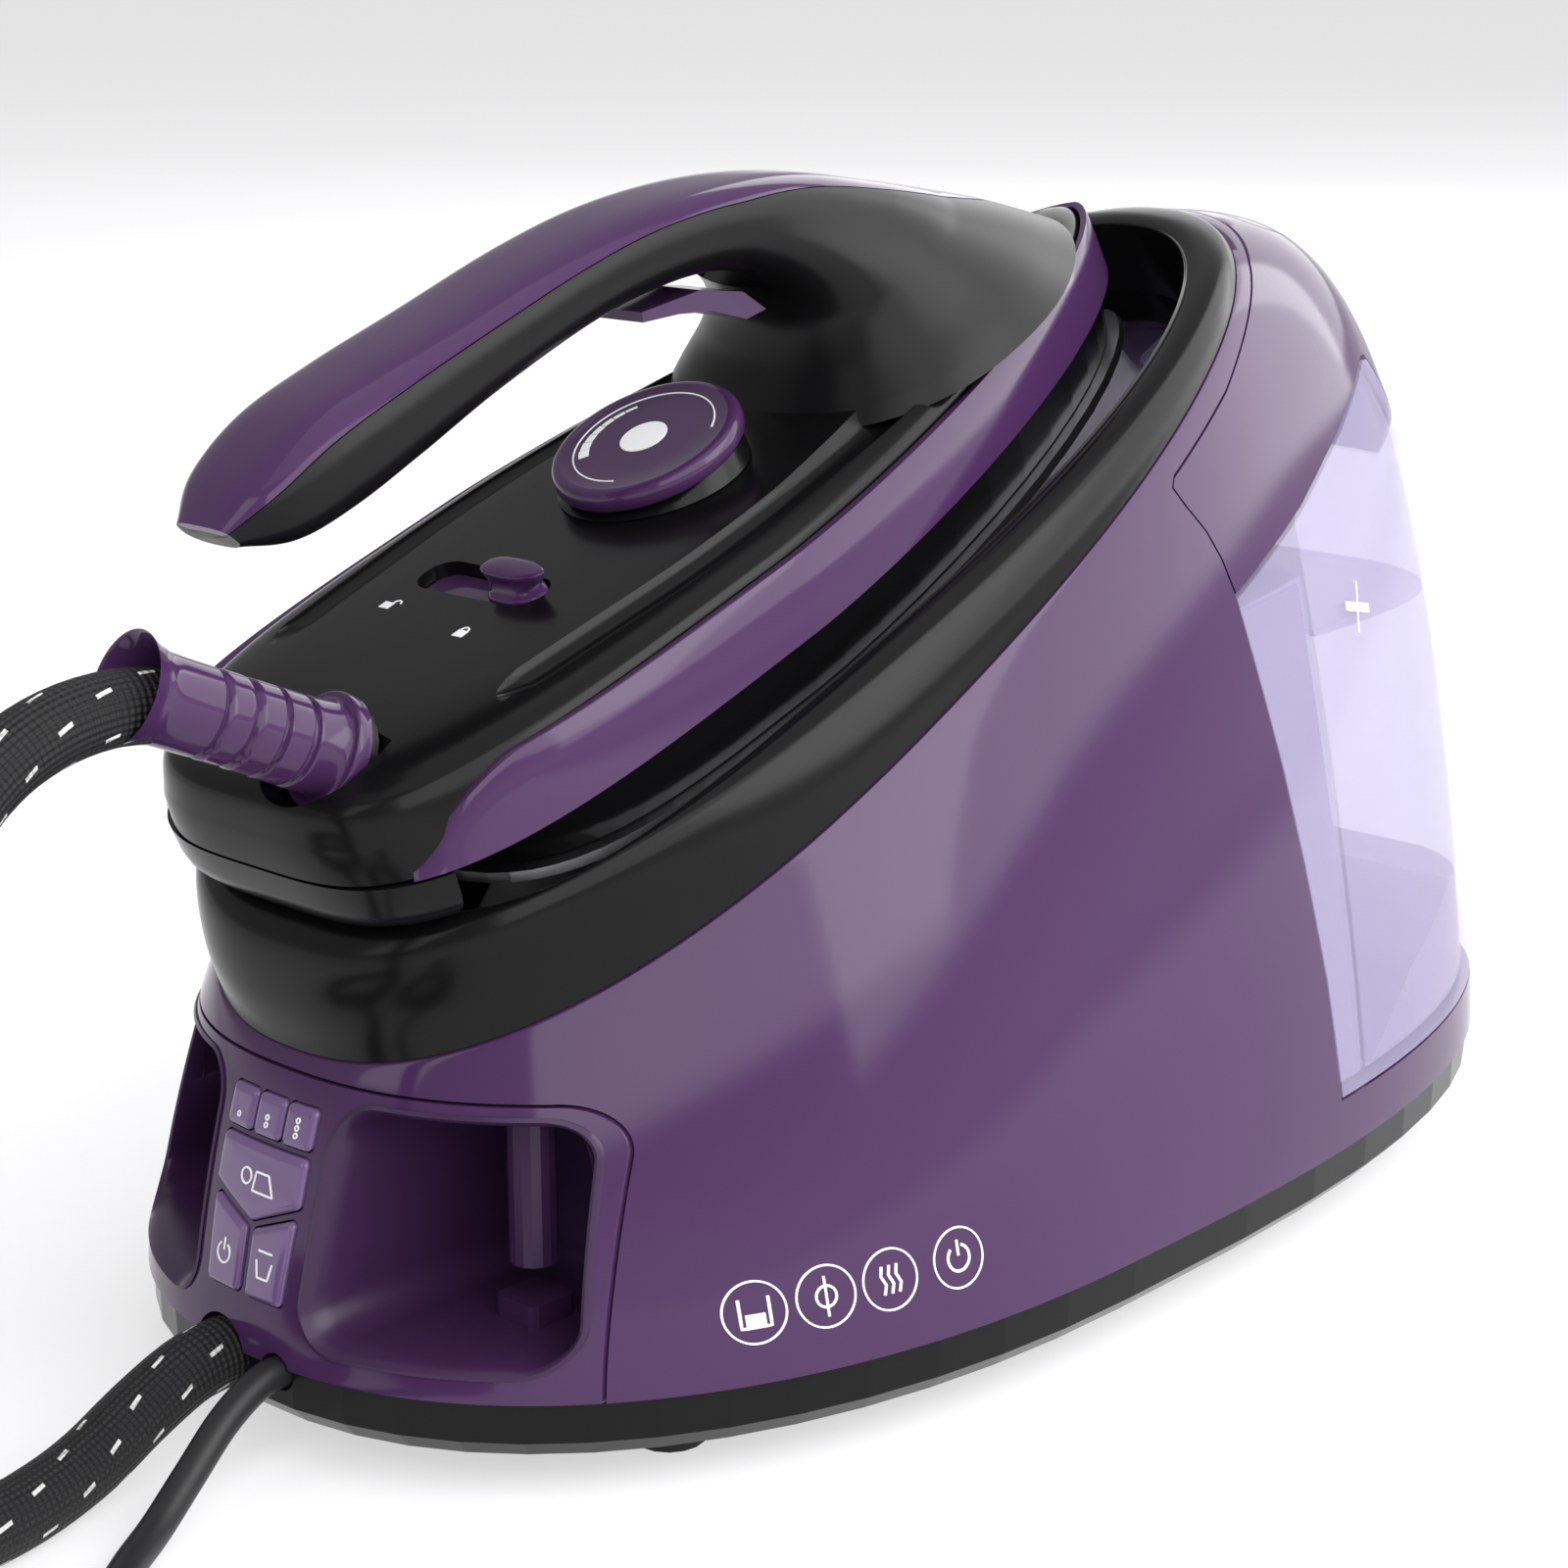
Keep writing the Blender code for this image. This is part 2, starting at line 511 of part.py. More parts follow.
def iron_ring(inset, h, nose=0.0, heel=IRON_LENGTH):
    return [iron_point(p, x, h) for x, p in iron_outline(inset, nose, heel)]


def make_iron_base():
    sole = [iron_ring(0.0030, SOLE_LOW, 0.002, SOLE_END), iron_ring(0.0010, SOLE_LOW + 0.0015,
        -0.003, SOLE_END),
            iron_ring(0.0016, SOLE_HIGH, -0.002, SOLE_END)]  # fmt: skip
    loft("soleplate", sole, "steel")
    low, high = SOLE_HIGH + GAP, -GAP
    shield = [iron_ring(0.0045, low, 0.0, SOLE_END), iron_ring(0.0035, high, 0.0, 0.2750),
              iron_ring(0.0075, high, 0.0, 0.2750), iron_ring(0.0075, low, 0.0, SOLE_END)]  # fmt: skip
    loft("heat_shield", shield, "black", wrap=True)
    chamber = [iron_ring(0.010, low, 0.010, 0.262), iron_ring(0.011, -0.0040, 0.012, 0.262)]
    loft("steam_chamber", chamber, "aluminium")
    heel = loft("heel_cap", [iron_ring(0.0020, -0.0105), iron_ring(0.0004, -0.0070),
        iron_ring(0.0, -GAP)], "black")
    low_corner, high_corner = iron_point(-0.05, 0, -0.02), iron_point(-0.05, 0, 0.01)
    behind = [low_corner, iron_point(0.2768, 0, -0.02), iron_point(0.2768, 0, 0.01), high_corner]
    boolean(heel, prism("cut_heel_cap", [(v.y, v.z) for v in behind], "X", -0.1, 0.1))


def band_height(p):
    """Height of the coloured band: level along the side, running out to a point at the heel corners."""
    fade = min(max((0.2835 - p) / 0.030, 0.0), 1.0)
    return 0.0012 + (BAND_HEIGHT - 0.0012) * math.sin(fade * math.pi / 2)


def make_side_band():
    outer, inner = iron_outline(0.0), iron_outline(0.0022)
    top_out, top_in = iron_outline(0.0034), iron_outline(0.0056)
    keep = [i for i in range(AROUND) if outer[i][1] < 0.2835]
    half = AROUND // 2
    order = [i for i in keep if i > half] + [i for i in keep if i <= half]
    sections = []
    for i in order:
        high = band_height(outer[i][1])
        rise = high / BAND_HEIGHT
        top = outer[i] + (top_out[i] - outer[i]) * rise
        inside = inner[i] + (top_in[i] - inner[i]) * rise
        sections.append([
            iron_point(outer[i][1], outer[i][0], GAP / 2), iron_point(top[1], top[0], high),
            iron_point(inside[1], inside[0], high), iron_point(inner[i][1], inner[i][0], GAP / 2),
        ])  # fmt: skip
    loft("side_band", sections, "purple")


def make_upper_body():
    rings = [
        iron_ring(0.0027, GAP / 2),
        iron_ring(0.0047, 0.0090),
        iron_ring(0.0062, 0.0160, 0.0, 0.2890),
        iron_ring(0.0078, 0.0182, 0.002, 0.2840),
        iron_ring(0.0120, 0.0200, 0.006, 0.2820),
        iron_ring(0.0200, 0.0210, 0.012, 0.2780),
        iron_ring(0.0300, DECK, 0.020, 0.2750),
    ]
    body = loft("upper_body", rings, "black")
    slot = [iron_point(p, x, h) for h in (0.0165, 0.0300) for p, x in
            ((0.2065, -0.0225), (0.2185, -0.0225), (0.2185, 0.0145), (0.2065, 0.0145))]  # fmt: skip
    boolean(body, loft("cut_lock_slot", [slot[:4], slot[4:]], None))
    flange = iron_point(RELIEF_AT[0], RELIEF_AT[1], RELIEF_AT[2])
    boolean(body, turned("cut_relief", flange - 0.004 * RELIEF_DIR, RELIEF_DIR, [(0.0132, 0.0),
        (0.0132, 0.060)], None, 24))
    track = [iron_point(p, x, h) for h in (0.0168, 0.0180) for p, x in
             ((0.2069, -0.0221), (0.2181, -0.0221), (0.2181, 0.0141), (0.2069, 0.0141))]  # fmt: skip
    loft("lock_track", [track[:4], track[4:]], "purple")
    p, x = LOCK_AT
    sizes = [(0.0052, 0.0060, 0.0184), (0.0052, 0.0060, 0.0206), (0.0046, 0.0068, 0.0220),
        (0.0040, 0.0064, 0.0262), (0.0028, 0.0045, 0.0276)]
    slider = []
    for dp, dx, h in sizes:
        outline = rounded([(p - dp, x - dx), (p + dp, x - dx), (p + dp, x + dx), (p - dp,
            x + dx)], 0.0022, 3)
        slider.append([iron_point(a, b, h) for a, b in outline])
    loft("lock_slider", slider, "purple")


def grip_point(i, turn, inset):
    """A point of handle section i: turn 0 is the ridge, half a turn the underside; inset moves it
    inwards."""
    ridge, under = np.asarray(RIDGE[i]), np.asarray(UNDERSIDE[i])
    middle, reach = (ridge + under) / 2, (ridge - under) / 2
    size = np.linalg.norm(reach)
    deep = 1 - inset / size
    c, s = math.cos(turn), math.sin(turn)
    power = 2.2 if i < 4 else 3.2 if c > 0 else 2.4
    up = math.copysign(abs(c) ** (2 / power), c) * deep
    wide = GRIP_HALF_WIDTHS[i] - inset
    taper = 1 - 0.22 * c * min(size / 0.05, 1.0) if i < 6 else 1.0
    p, h = middle + reach * up
    return iron_point(p, wide * taper * math.copysign(abs(s) ** (2 / power), s), h)


def cover_half_turn(i):
    """How far round the handle its coloured cover reaches: nothing at the nose, nearly to the
    widest point further on."""
    return math.radians(min(18 + 11 * (i - 2), 62))


def make_handle():
    sections = []
    for i in range(len(RIDGE)):
        edge = cover_half_turn(i) if i > 1 else 0.2
        low = 0.0027 if i > 1 else 0.0
        ring = [grip_point(i, turn, low) for turn in np.linspace(-edge, edge, 9)]
        ring += [grip_point(i, turn, 0.0) for turn in np.linspace(edge, 2 * math.pi - edge, 17)]
        sections.append(ring)
    grip = loft("handle_grip", sections, "black")
    pocket = [(0.1235, 0.0440), (0.1215, 0.0560), (0.1400, 0.0672), (0.1620, 0.0685), (0.1620,
        0.0600), (0.1350, 0.0480)]
    places = [iron_point(p, 0, h) for p, h in pocket]
    boolean(grip, prism("cut_trigger_pocket", [(v.y, v.z) for v in places], "X", -0.0105, 0.0105))
    trigger = [(0.1245, 0.0452), (0.1300, 0.0520), (0.1420, 0.0580), (0.1600, 0.0612), (0.1605,
        0.0590), (0.1500, 0.0560), (0.1400, 0.0520), (0.1310, 0.0458)]
    places = [iron_point(p, 0, h) for p, h in trigger]
    prism("steam_trigger", [(v.y, v.z) for v in places], "X", -0.0095, 0.0095, "purple")

    cover = []
    for i in range(2, len(RIDGE)):
        edge = cover_half_turn(i) - 0.03
        turns = np.linspace(-edge, edge, 9)
        cover.append([grip_point(i, turn, 0.0) for turn in turns] + [grip_point(i, turn,
            0.0022) for turn in turns[::-1]])
    loft("handle_cover", cover, "purple")


def make_dial():
    p, h = DIAL_AT
    axis = iron_point(0, 0, 1) - iron_point(0, 0, 0)
    axis = Matrix.Rotation(DIAL_TILT, 3, "X") @ axis
    top = iron_point(p, 0, h)
    base = top - axis * (DIAL_THICK + GAP)
    rings = []
    count = 32
    side_a = Vector((1, 0, 0))
    side_b = axis.cross(side_a)
    for radius, level in ((0.0222, None), (0.0205, 0.0)):
        ring = []
        for a in np.linspace(0, 2 * np.pi, count, endpoint=False):
            if level is None:
                ring.append(iron_point(p + radius * math.sin(a), radius * math.cos(a), DECK + GAP))
            else:
                ring.append(base + side_a * radius * math.cos(a) - side_b * radius * math.sin(a))
        rings.append(ring)
    loft("dial_plinth", rings, "black")
    profile = [(0.0205, 0.0), (DIAL_RADIUS, 0.0010), (DIAL_RADIUS, 0.0042), (0.0215, DIAL_THICK)]
    turned("dial", top - axis * DIAL_THICK, axis, profile, "purple", 40)


def make_hose_relief():
    flange = iron_point(RELIEF_AT[0], RELIEF_AT[1], RELIEF_AT[2])
    outer = [(0.0122, 0.0), (0.0122, 0.0030), (0.0100, 0.0050), (0.0094, 0.0180), (0.0092,
        0.0400), (0.0100, 0.0460), (0.0118, RELIEF_LENGTH)]
    inner = [(0.0108, RELIEF_LENGTH), (0.0086, 0.0440), (0.0082, 0.0400), (0.0082, 0.0)]
    turned("hose_sleeve", flange, RELIEF_DIR, outer + inner, "purple", 28, ring=True)
    turned("hose_boot", flange - 0.0034 * RELIEF_DIR, RELIEF_DIR, [(0.0100, 0.0), (0.0100,
        0.0030), (0.0074, 0.0034), (0.0070, 0.0300)], "rubber", 20)


def turned(name, start, axis, profile, finish, count, ring=False):
    """A shape turned about an axis from radii and heights; ring closes the profile on itself."""
    axis = Vector(axis).normalized()
    side_a = axis.orthogonal().normalized()
    side_b = axis.cross(side_a)
    rings = []
    for radius, level in profile:
        turn = np.linspace(0, 2 * np.pi, count, endpoint=False)
        middle = start + axis * level
        rings.append([middle + side_a * radius * math.cos(a) + side_b * radius * math.sin(a) for a in turn])
    return loft(name, rings, finish, wrap=ring)


# ---------------------------------------------------------------- cords


def smooth_route(points, spacing):
    """Even points on a smooth curve through the route's own points."""
    route = np.asarray(points, float)
    padded = np.vstack([2 * route[0] - route[1], route, 2 * route[-1] - route[-2]])
    fine = []
    for i in range(1, len(padded) - 2):
        before, here, there, after = padded[i - 1], padded[i], padded[i + 1], padded[i + 2]
        for t in np.linspace(0, 1, 12, endpoint=False):
            square = 2 * before - 5 * here + 4 * there - after
            fine.append(0.5 * (2 * here + (there - before) * t + square * t**2
                               + (3 * here - before - 3 * there + after) * t**3))  # fmt: skip
    fine.append(route[-1])
    fine = np.asarray(fine)
    run = np.concatenate([[0], np.cumsum(np.linalg.norm(np.diff(fine, axis=0), axis=1))])
    even = np.linspace(0, run[-1], max(int(run[-1] / spacing), 3))
    return np.stack([np.interp(even, run, fine[:, k]) for k in range(3)], axis=1)


def cord(name, points, radius, finish, resolution):
    route = smooth_route(points, radius * 3)
    curve = bpy.data.curves.new(name, "CURVE")
    curve.dimensions = "3D"
    curve.bevel_depth = radius
    curve.bevel_resolution = resolution
    curve.use_fill_caps = True
    spline = curve.splines.new("POLY")
    spline.points.add(len(route) - 1)
    for place, at in zip(spline.points, route, strict=True):
        place.co = (*at, 1.0)
    curve.materials.append(material(finish))
    bpy.context.scene.collection.objects.link(bpy.data.objects.new(name, curve))


def coil(name, centre, radii, height, finish, count):
    inner, outer = radii
    edge = height * 0.25
    profile = [(inner + edge, 0.0003), (outer - edge, 0.0003), (outer, edge), (outer, height - edge),
               (outer - edge, height), (inner + edge, height), (inner, height - edge), (inner,
                   edge)]  # fmt: skip
    turned(name, Vector((*centre, 0.0)), Vector((0, 0, 1)), profile, finish, count, ring=True)


def make_cords():
    cord("hose_lower", HOSE_FROM_STATION, HOSE_R, "braid", 2)
    coil("hose_coil", HOSE_COIL, HOSE_COIL_R, HOSE_COIL_H, "braid", 40)
    cord("hose_upper", HOSE_TO_IRON, HOSE_R, "braid", 2)
    cord("mains_cord", MAINS_FROM_STATION, MAINS_R, "rubber", 2)
    coil("mains_coil", MAINS_COIL, MAINS_COIL_R, MAINS_COIL_H, "rubber", 32)
    cord("mains_tail", MAINS_TO_PLUG, MAINS_R, "rubber", 2)
    plug = [(0.0045, 0.0), (0.0060, 0.0120), (0.0160, 0.0160), (0.0180, 0.0220), (0.0180,
        0.0440), (0.0165, 0.0460)]
    pin = [(0.0024, 0.0), (0.0024, 0.0185), (0.0014, 0.0200)]
    body = turned("mains_plug", PLUG_AT, PLUG_DIR, plug, "rubber", 24)
    for side in (1, -1):
        start = PLUG_AT + PLUG_DIR * 0.044 + Vector((side * 0.0095, 0, 0))
        boolean(body, turned(f"pin_{'left' if side > 0 else 'right'}", start, PLUG_DIR, pin,
            None, 12), "UNION")


def main():
    clear_scene()
    tray = make_tray_and_feet()
    make_shell_panel_and_keys(tray)
    make_rest_collar()
    make_tank()
    make_inside()
    make_iron_base()
    make_side_band()
    make_upper_body()
    make_handle()
    make_dial()
    make_hose_relief()
    make_cords()


main()
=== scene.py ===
"""Looks of a steam generator iron: its station, water tank, iron, hose and lead, set up in a pale studio."""

import math

import bpy
import numpy as np
from mathutils import Matrix, Vector


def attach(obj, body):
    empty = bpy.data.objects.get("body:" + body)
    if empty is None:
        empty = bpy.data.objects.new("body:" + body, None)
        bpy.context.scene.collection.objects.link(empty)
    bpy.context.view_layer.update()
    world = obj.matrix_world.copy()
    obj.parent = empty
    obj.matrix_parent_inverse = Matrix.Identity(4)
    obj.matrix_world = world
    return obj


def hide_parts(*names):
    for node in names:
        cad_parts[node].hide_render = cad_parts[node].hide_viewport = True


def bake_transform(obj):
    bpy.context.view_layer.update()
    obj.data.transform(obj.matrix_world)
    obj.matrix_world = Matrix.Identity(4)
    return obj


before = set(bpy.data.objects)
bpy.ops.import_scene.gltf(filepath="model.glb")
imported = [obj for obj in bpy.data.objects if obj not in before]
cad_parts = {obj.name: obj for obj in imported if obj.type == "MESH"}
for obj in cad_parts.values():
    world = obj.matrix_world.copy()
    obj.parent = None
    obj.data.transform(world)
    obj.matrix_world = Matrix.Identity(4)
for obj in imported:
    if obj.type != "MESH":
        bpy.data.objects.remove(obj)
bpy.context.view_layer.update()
TAU = 2 * np.pi

# ------------------------------------------------------------------ driving sizes, metres

HALF_LENGTH, HALF_WIDTH, SHELL_FOOT, WIDEST_Y = 0.2000, 0.1096, 0.0221, -0.0345
RIM_Y, RIM_Z, RIM_LENGTH, RIM_HALF_WIDTH = -0.1831, 0.0842, 0.3313, 0.0752
RIM_TILT = math.radians(27.55)
LEDGE_Z = 0.0340
IRON_TILT = math.radians(20.5)
NOSE_Y, NOSE_Z = 0.0833, 0.2276
IRON_LENGTH, IRON_HALF_WIDTH, IRON_WIDEST = 0.292, 0.0571, 0.178
BAND_HEIGHT = 0.0165
DISH_OUTER = (0.0004, 0.1361, 0.3309, 0.0748, 2.386, 2.159)
DISH_OPENING = (0.0255, 0.1437, 0.3165, 0.0625, 4.0, 2.159)
DECK_HEIGHT = 0.0213
SEAM_GAP = 0.0007
TANK_WALL = 0.0022

SEAM = [
    (0.150, 0.2560), (0.0975, 0.2282), (0.0557, 0.2023), (0.0244, 0.1866), (0.0225, 0.1840),
    (0.0259, 0.1795), (0.0319, 0.1729), (0.0359, 0.1660), (0.0388, 0.1576), (0.0415, 0.1421),
    (0.0458, 0.1175), (0.0490, 0.0922), (0.0518, 0.0640), (0.0528, LEDGE_Z),
]
COVER_EDGE = [(0.0388, 0.1570), (0.0791, 0.1712), (0.1116, 0.1858), (0.1401, 0.2000), (0.230, 0.2000)]
TONGUE = [(-0.044, 0.214), (0.044, 0.214), (0.040, 0.186), (0.024, 0.168), (-0.024, 0.168), (-0.040, 0.186)]

RIDGE = [
    (0.0235, 0.0225), (0.033, 0.0290), (0.045, 0.0368), (0.060, 0.0455), (0.080, 0.0565), (0.102, 0.0680),
    (0.125, 0.0760), (0.150, 0.0812), (0.175, 0.0830), (0.205, 0.0828), (0.230, 0.0826), (0.250, 0.0812),
    (0.266, 0.0762), (0.276, 0.0700),
]
UNDERSIDE = [
    (0.1330, 0.0180), (0.1270, 0.0235), (0.1215, 0.0305), (0.1190, 0.0390), (0.1220, 0.0480),
    (0.1310, 0.0560), (0.143, 0.0610), (0.160, 0.0640), (0.179, 0.0650), (0.206, 0.0635), (0.229, 0.0608),
    (0.248, 0.0590), (0.262, 0.0595), (0.273, 0.0640),
]
GRIP_HALF_WIDTHS = [
    0.044, 0.040, 0.0345, 0.029, 0.0235, 0.0195, 0.018, 0.0175, 0.0175, 0.0175, 0.018, 0.0178, 0.0155,
    0.009,
]

DIAL_P, DIAL_H, DIAL_THICK = 0.1614, 0.0313, 0.0055
DIAL_TILT = math.radians(8.0)
LOCK_P, LOCK_X = 0.2124, 0.0065
RELIEF_DIR = np.array([-0.108, -0.905, 0.411])
RELIEF_DIR = RELIEF_DIR / np.linalg.norm(RELIEF_DIR)
RELIEF_LENGTH = 0.050

HOSE_DIAMETER, HOSE_LENGTH = 0.015, 1.90
HOSE_COIL_CENTRE, HOSE_COIL_RADIUS = (-0.042, -0.430), 0.0800
MAINS_DIAMETER, MAINS_LENGTH = 0.007, 1.80
MAINS_COIL_CENTRE, MAINS_COIL_RADIUS = (0.090, -0.335), 0.0400

# the record's material slot of each finish
SLOTS = {
    "purple_gloss": "purple_plastic",
    "purple_inside": "dark_purple_plastic",
    "purple_key": "clear_purple",
    "black_gloss": "black_plastic",
    "black_satin": "black_plastic",
    "tank_clear": "tank_clear",
    "tank_milky": "tank_clear",
    "tank_smoky": "tank_clear",
    "black_rubber": "cord_rubber",
    "cord_sheath": "cord_rubber",
    "hose_braid": "hose_braid",
    "white_print": "tank_clear",
}

# ------------------------------------------------------------------ meshes from arrays


def sheet_mesh(name, grid, wrap_rows=False, wrap_columns=False, cap=False):
    """A mesh from a grid of points: quads between neighbours, wrapping where asked; cap closes both end rows."""
    grid = np.asarray(grid, float)
    rows, columns = grid.shape[:2]
    index = np.arange(rows * columns).reshape(rows, columns)
    if wrap_rows:
        index = np.vstack([index, index[:1]])
    if wrap_columns:
        index = np.hstack([index, index[:, :1]])
    quads = np.stack(
        [index[:-1, :-1], index[:-1, 1:], index[1:, 1:], index[1:, :-1]], axis=-1,
    ).reshape(-1, 4)
    points = grid.reshape(-1, 3)
    faces = quads.tolist()
    if cap:
        middles = np.array([grid[0].mean(axis=0), grid[-1].mean(axis=0)])
        first, last = len(points), len(points) + 1
        points = np.vstack([points, middles])
        around = np.arange(columns)
        ahead = (around + 1) % columns
        end = (rows - 1) * columns
        faces += np.stack([ahead, around, np.full(columns, first)], axis=1).tolist()
        faces += np.stack([end + around, end + ahead, np.full(columns, last)], axis=1).tolist()
    mesh = bpy.data.meshes.new(name)
    mesh.from_pydata(points.tolist(), [], faces)
    mesh.update()
    return mesh


def outward(mesh):
    """Turn a closed mesh so that its signed volume is positive."""
    mesh.calc_loop_triangles()
    count = len(mesh.loop_triangles)
    corner = np.empty(count * 3, dtype=np.int32)
    mesh.loop_triangles.foreach_get("vertices", corner)
    place = np.empty(len(mesh.vertices) * 3)
    mesh.vertices.foreach_get("co", place)
    a, b, c = place.reshape(-1, 3)[corner.reshape(-1, 3)].transpose(1, 0, 2)
    if np.einsum("ij,ij->i", a, np.cross(b, c)).sum() < 0:
        mesh.flip_normals()
    return mesh


def piece(name, mesh, material, body, sharp=38, stands_for=(), slot=None):
    """One finished piece: smooth faces with sharp edges past an angle, its material, body and CAD nodes."""
    made = bpy.data.objects.new(name, mesh)
    bpy.context.scene.collection.objects.link(made)
    mesh.materials.clear()
    mesh.materials.append(material)
    mesh.shade_smooth()
    mesh.set_sharp_from_angle(angle=math.radians(sharp))
    if body:
        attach(made, body)
    if stands_for:
        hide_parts(*stands_for)
    slot = slot or SLOTS.get(material.name.split(".")[0])
    return made


def solid(name, rings, material, body, wrap=False, **more):
    """A closed piece lofted through rings of equal count; wrap joins the last ring to the first."""
    mesh = sheet_mesh(name, np.asarray(rings), wrap_rows=wrap, wrap_columns=True, cap=not wrap)
    return piece(name, outward(mesh), material, body, **more)


def carve(mesh, steps):
    """A mesh cut by other closed meshes: each step is an operation and a mesh, done exactly and in order."""
    holder = bpy.data.objects.new("carving", mesh)
    bpy.context.scene.collection.objects.link(holder)
    helpers = []
    for operation, tool in steps:
        helper = bpy.data.objects.new("carving_tool", outward(tool))
        bpy.context.scene.collection.objects.link(helper)
        modifier = holder.modifiers.new("cut", "BOOLEAN")
        modifier.operation = operation
        modifier.solver = "EXACT"
        modifier.object = helper
        helpers.append(helper)
    seen = bpy.context.evaluated_depsgraph_get()
    result = bpy.data.meshes.new_from_object(holder.evaluated_get(seen))
    for spare in [holder, *helpers]:
        bpy.data.objects.remove(spare, do_unlink=True)
    return result


def slab(outline, axis, low, high):
    """A closed mesh: a flat outline of two coordinates pushed along X, Y or Z."""
    places = {"X": (1, 2, 0), "Y": (0, 2, 1), "Z": (0, 1, 2)}[axis]
    outline = np.asarray(outline, float)
    points = np.zeros((2, len(outline), 3))
    points[:, :, places[0]] = outline[:, 0]
    points[:, :, places[1]] = outline[:, 1]
    points[0, :, places[2]], points[1, :, places[2]] = low, high
    count = len(outline)
    around = np.arange(count)
    ahead = (around + 1) % count
    faces = np.stack([around, ahead, count + ahead, count + around], axis=1).tolist()
    faces += [around[::-1].tolist(), (count + around).tolist()]
    mesh = bpy.data.meshes.new("slab")
    mesh.from_pydata(points.reshape(-1, 3).tolist(), [], faces)
    return outward(mesh)


def rounded(corners, radius, steps=8):
    """A polygon whose corners are arcs that meet both sides."""
    corners = np.asarray(corners, float)
    before = np.roll(corners, 1, axis=0) - corners
    after = np.roll(corners, -1, axis=0) - corners
    before /= np.linalg.norm(before, axis=1)[:, None]
    after /= np.linalg.norm(after, axis=1)[:, None]
    half = np.arccos(np.clip((before * after).sum(axis=1), -1, 1)) / 2
    inward = before + after
    inward /= np.linalg.norm(inward, axis=1)[:, None]
    centre = corners + inward * (radius / np.sin(half))[:, None]
    start = corners + before * (radius / np.tan(half))[:, None] - centre
    end = corners + after * (radius / np.tan(half))[:, None] - centre
    share = np.linspace(0, 1, steps + 1)[None, :, None]
    mixed = start[:, None] * (1 - share) + end[:, None] * share
    mixed *= radius / np.linalg.norm(mixed, axis=2, keepdims=True)
    return (centre[:, None] + mixed).reshape(-1, 2)


def evened(outline, count):
    """A closed outline again, with a given number of points spaced evenly along it."""
    loop = np.vstack([outline, outline[:1]])
    run = np.concatenate([[0], np.cumsum(np.linalg.norm(np.diff(loop, axis=0), axis=1))])
    even = np.linspace(0, run[-1], count, endpoint=False)
    return np.stack([np.interp(even, run, loop[:, k]) for k in range(outline.shape[1])], axis=1)


def grown(outline, amount):
    """A closed outline moved outwards by an amount, each point along its own normal."""
    ahead, behind = np.roll(outline, -1, axis=0), np.roll(outline, 1, axis=0)
    along = ahead - behind
    normal = np.stack([along[:, 1], -along[:, 0]], axis=1)
    normal /= np.linalg.norm(normal, axis=1)[:, None]
    area = np.sum(outline[:, 0] * ahead[:, 1] - ahead[:, 0] * outline[:, 1])
    return outline + normal * amount * np.sign(area)


def flowing(points, count):
    """Rows between given rows on a Catmull-Rom curve, each pair of rows joined by count steps."""
    points = np.asarray(points, float)
    padded = np.concatenate([2 * points[:1] - points[1:2], points, 2 * points[-1:] - points[-2:-1]])
    t = np.linspace(0, 1, count, endpoint=False)
    t = t.reshape((1, count) + (1,) * (points.ndim - 1))
    before, here, there, after = (padded[k : len(padded) - 3 + k][:, None] for k in range(4))
    rows = 0.5 * (2 * here + (there - before) * t + (2 * before - 5 * here + 4 * there - after) * t**2
                  + (3 * here - before - 3 * there + after) * t**3)
    return np.concatenate([rows.reshape((-1,) + points.shape[1:]), points[-1:]])


# ------------------------------------------------------------------ the object's surfaces


def egg(turn, front, widest, rear, half_width, front_power, rear_power):
    """x and length of an outline: two half superellipses sharing their widest line; turn 0 is the front middle."""
    c, s = np.cos(turn), np.sin(turn)
    power = np.where(c > 0, front_power, rear_power)
    reach = np.abs(c) ** (2 / power)
    length = np.where(c > 0, widest - (widest - front) * reach, widest + (rear - widest) * reach)
    return half_width * np.sign(s) * np.abs(s) ** (2 / power), length


def rim_place(x, u, n):
    """A point of the sloping rim's plane: u up its slope from the front, n above it."""
    c, s = math.cos(RIM_TILT), math.sin(RIM_TILT)
    return np.stack(np.broadcast_arrays(x, RIM_Y + u * c - n * s, RIM_Z + u * s + n * c), axis=-1)


def iron_place(p, x, h):
    """A point of the iron's own frame: p from nose to heel, h away from the soleplate."""
    c, s = math.cos(IRON_TILT), math.sin(IRON_TILT)
    return np.stack(np.broadcast_arrays(x, NOSE_Y - p * c - h * s, NOSE_Z - p * s + h * c), axis=-1)


def skin(turn, level, inset=0.0):
    """The station's side from foot (level 0) to rim (level 1): a superelliptic bulge, fuller at the rear."""
    x1, y1 = egg(
        turn, -HALF_LENGTH + inset, WIDEST_Y, HALF_LENGTH - inset, HALF_WIDTH - inset, 2.228, 2.628,
    )
    ends = inset, RIM_LENGTH - inset
    x2, u2 = egg(
        turn, ends[0], ends[0] + 0.41 * (ends[1] - ends[0]), ends[1], RIM_HALF_WIDTH - inset, 2.386, 2.159,
    )
    rim = rim_place(x2, u2, 0.0)
    foot = np.stack(np.broadcast_arrays(x1, y1, SHELL_FOOT), axis=-1)
    fuller = np.where(np.cos(turn) < 0, np.abs(np.cos(turn)) ** 8, 0.0)
    power = 1.2 + 1.5 * fuller
    out = np.maximum(np.cos(level * np.pi / 2), 0.0) ** (2 / power)
    up = np.sin(level * np.pi / 2) ** (2 / power)
    place = rim + (foot - rim) * out[..., None]
    place[..., 2] = SHELL_FOOT + (rim[..., 2] - SHELL_FOOT) * up
    return place


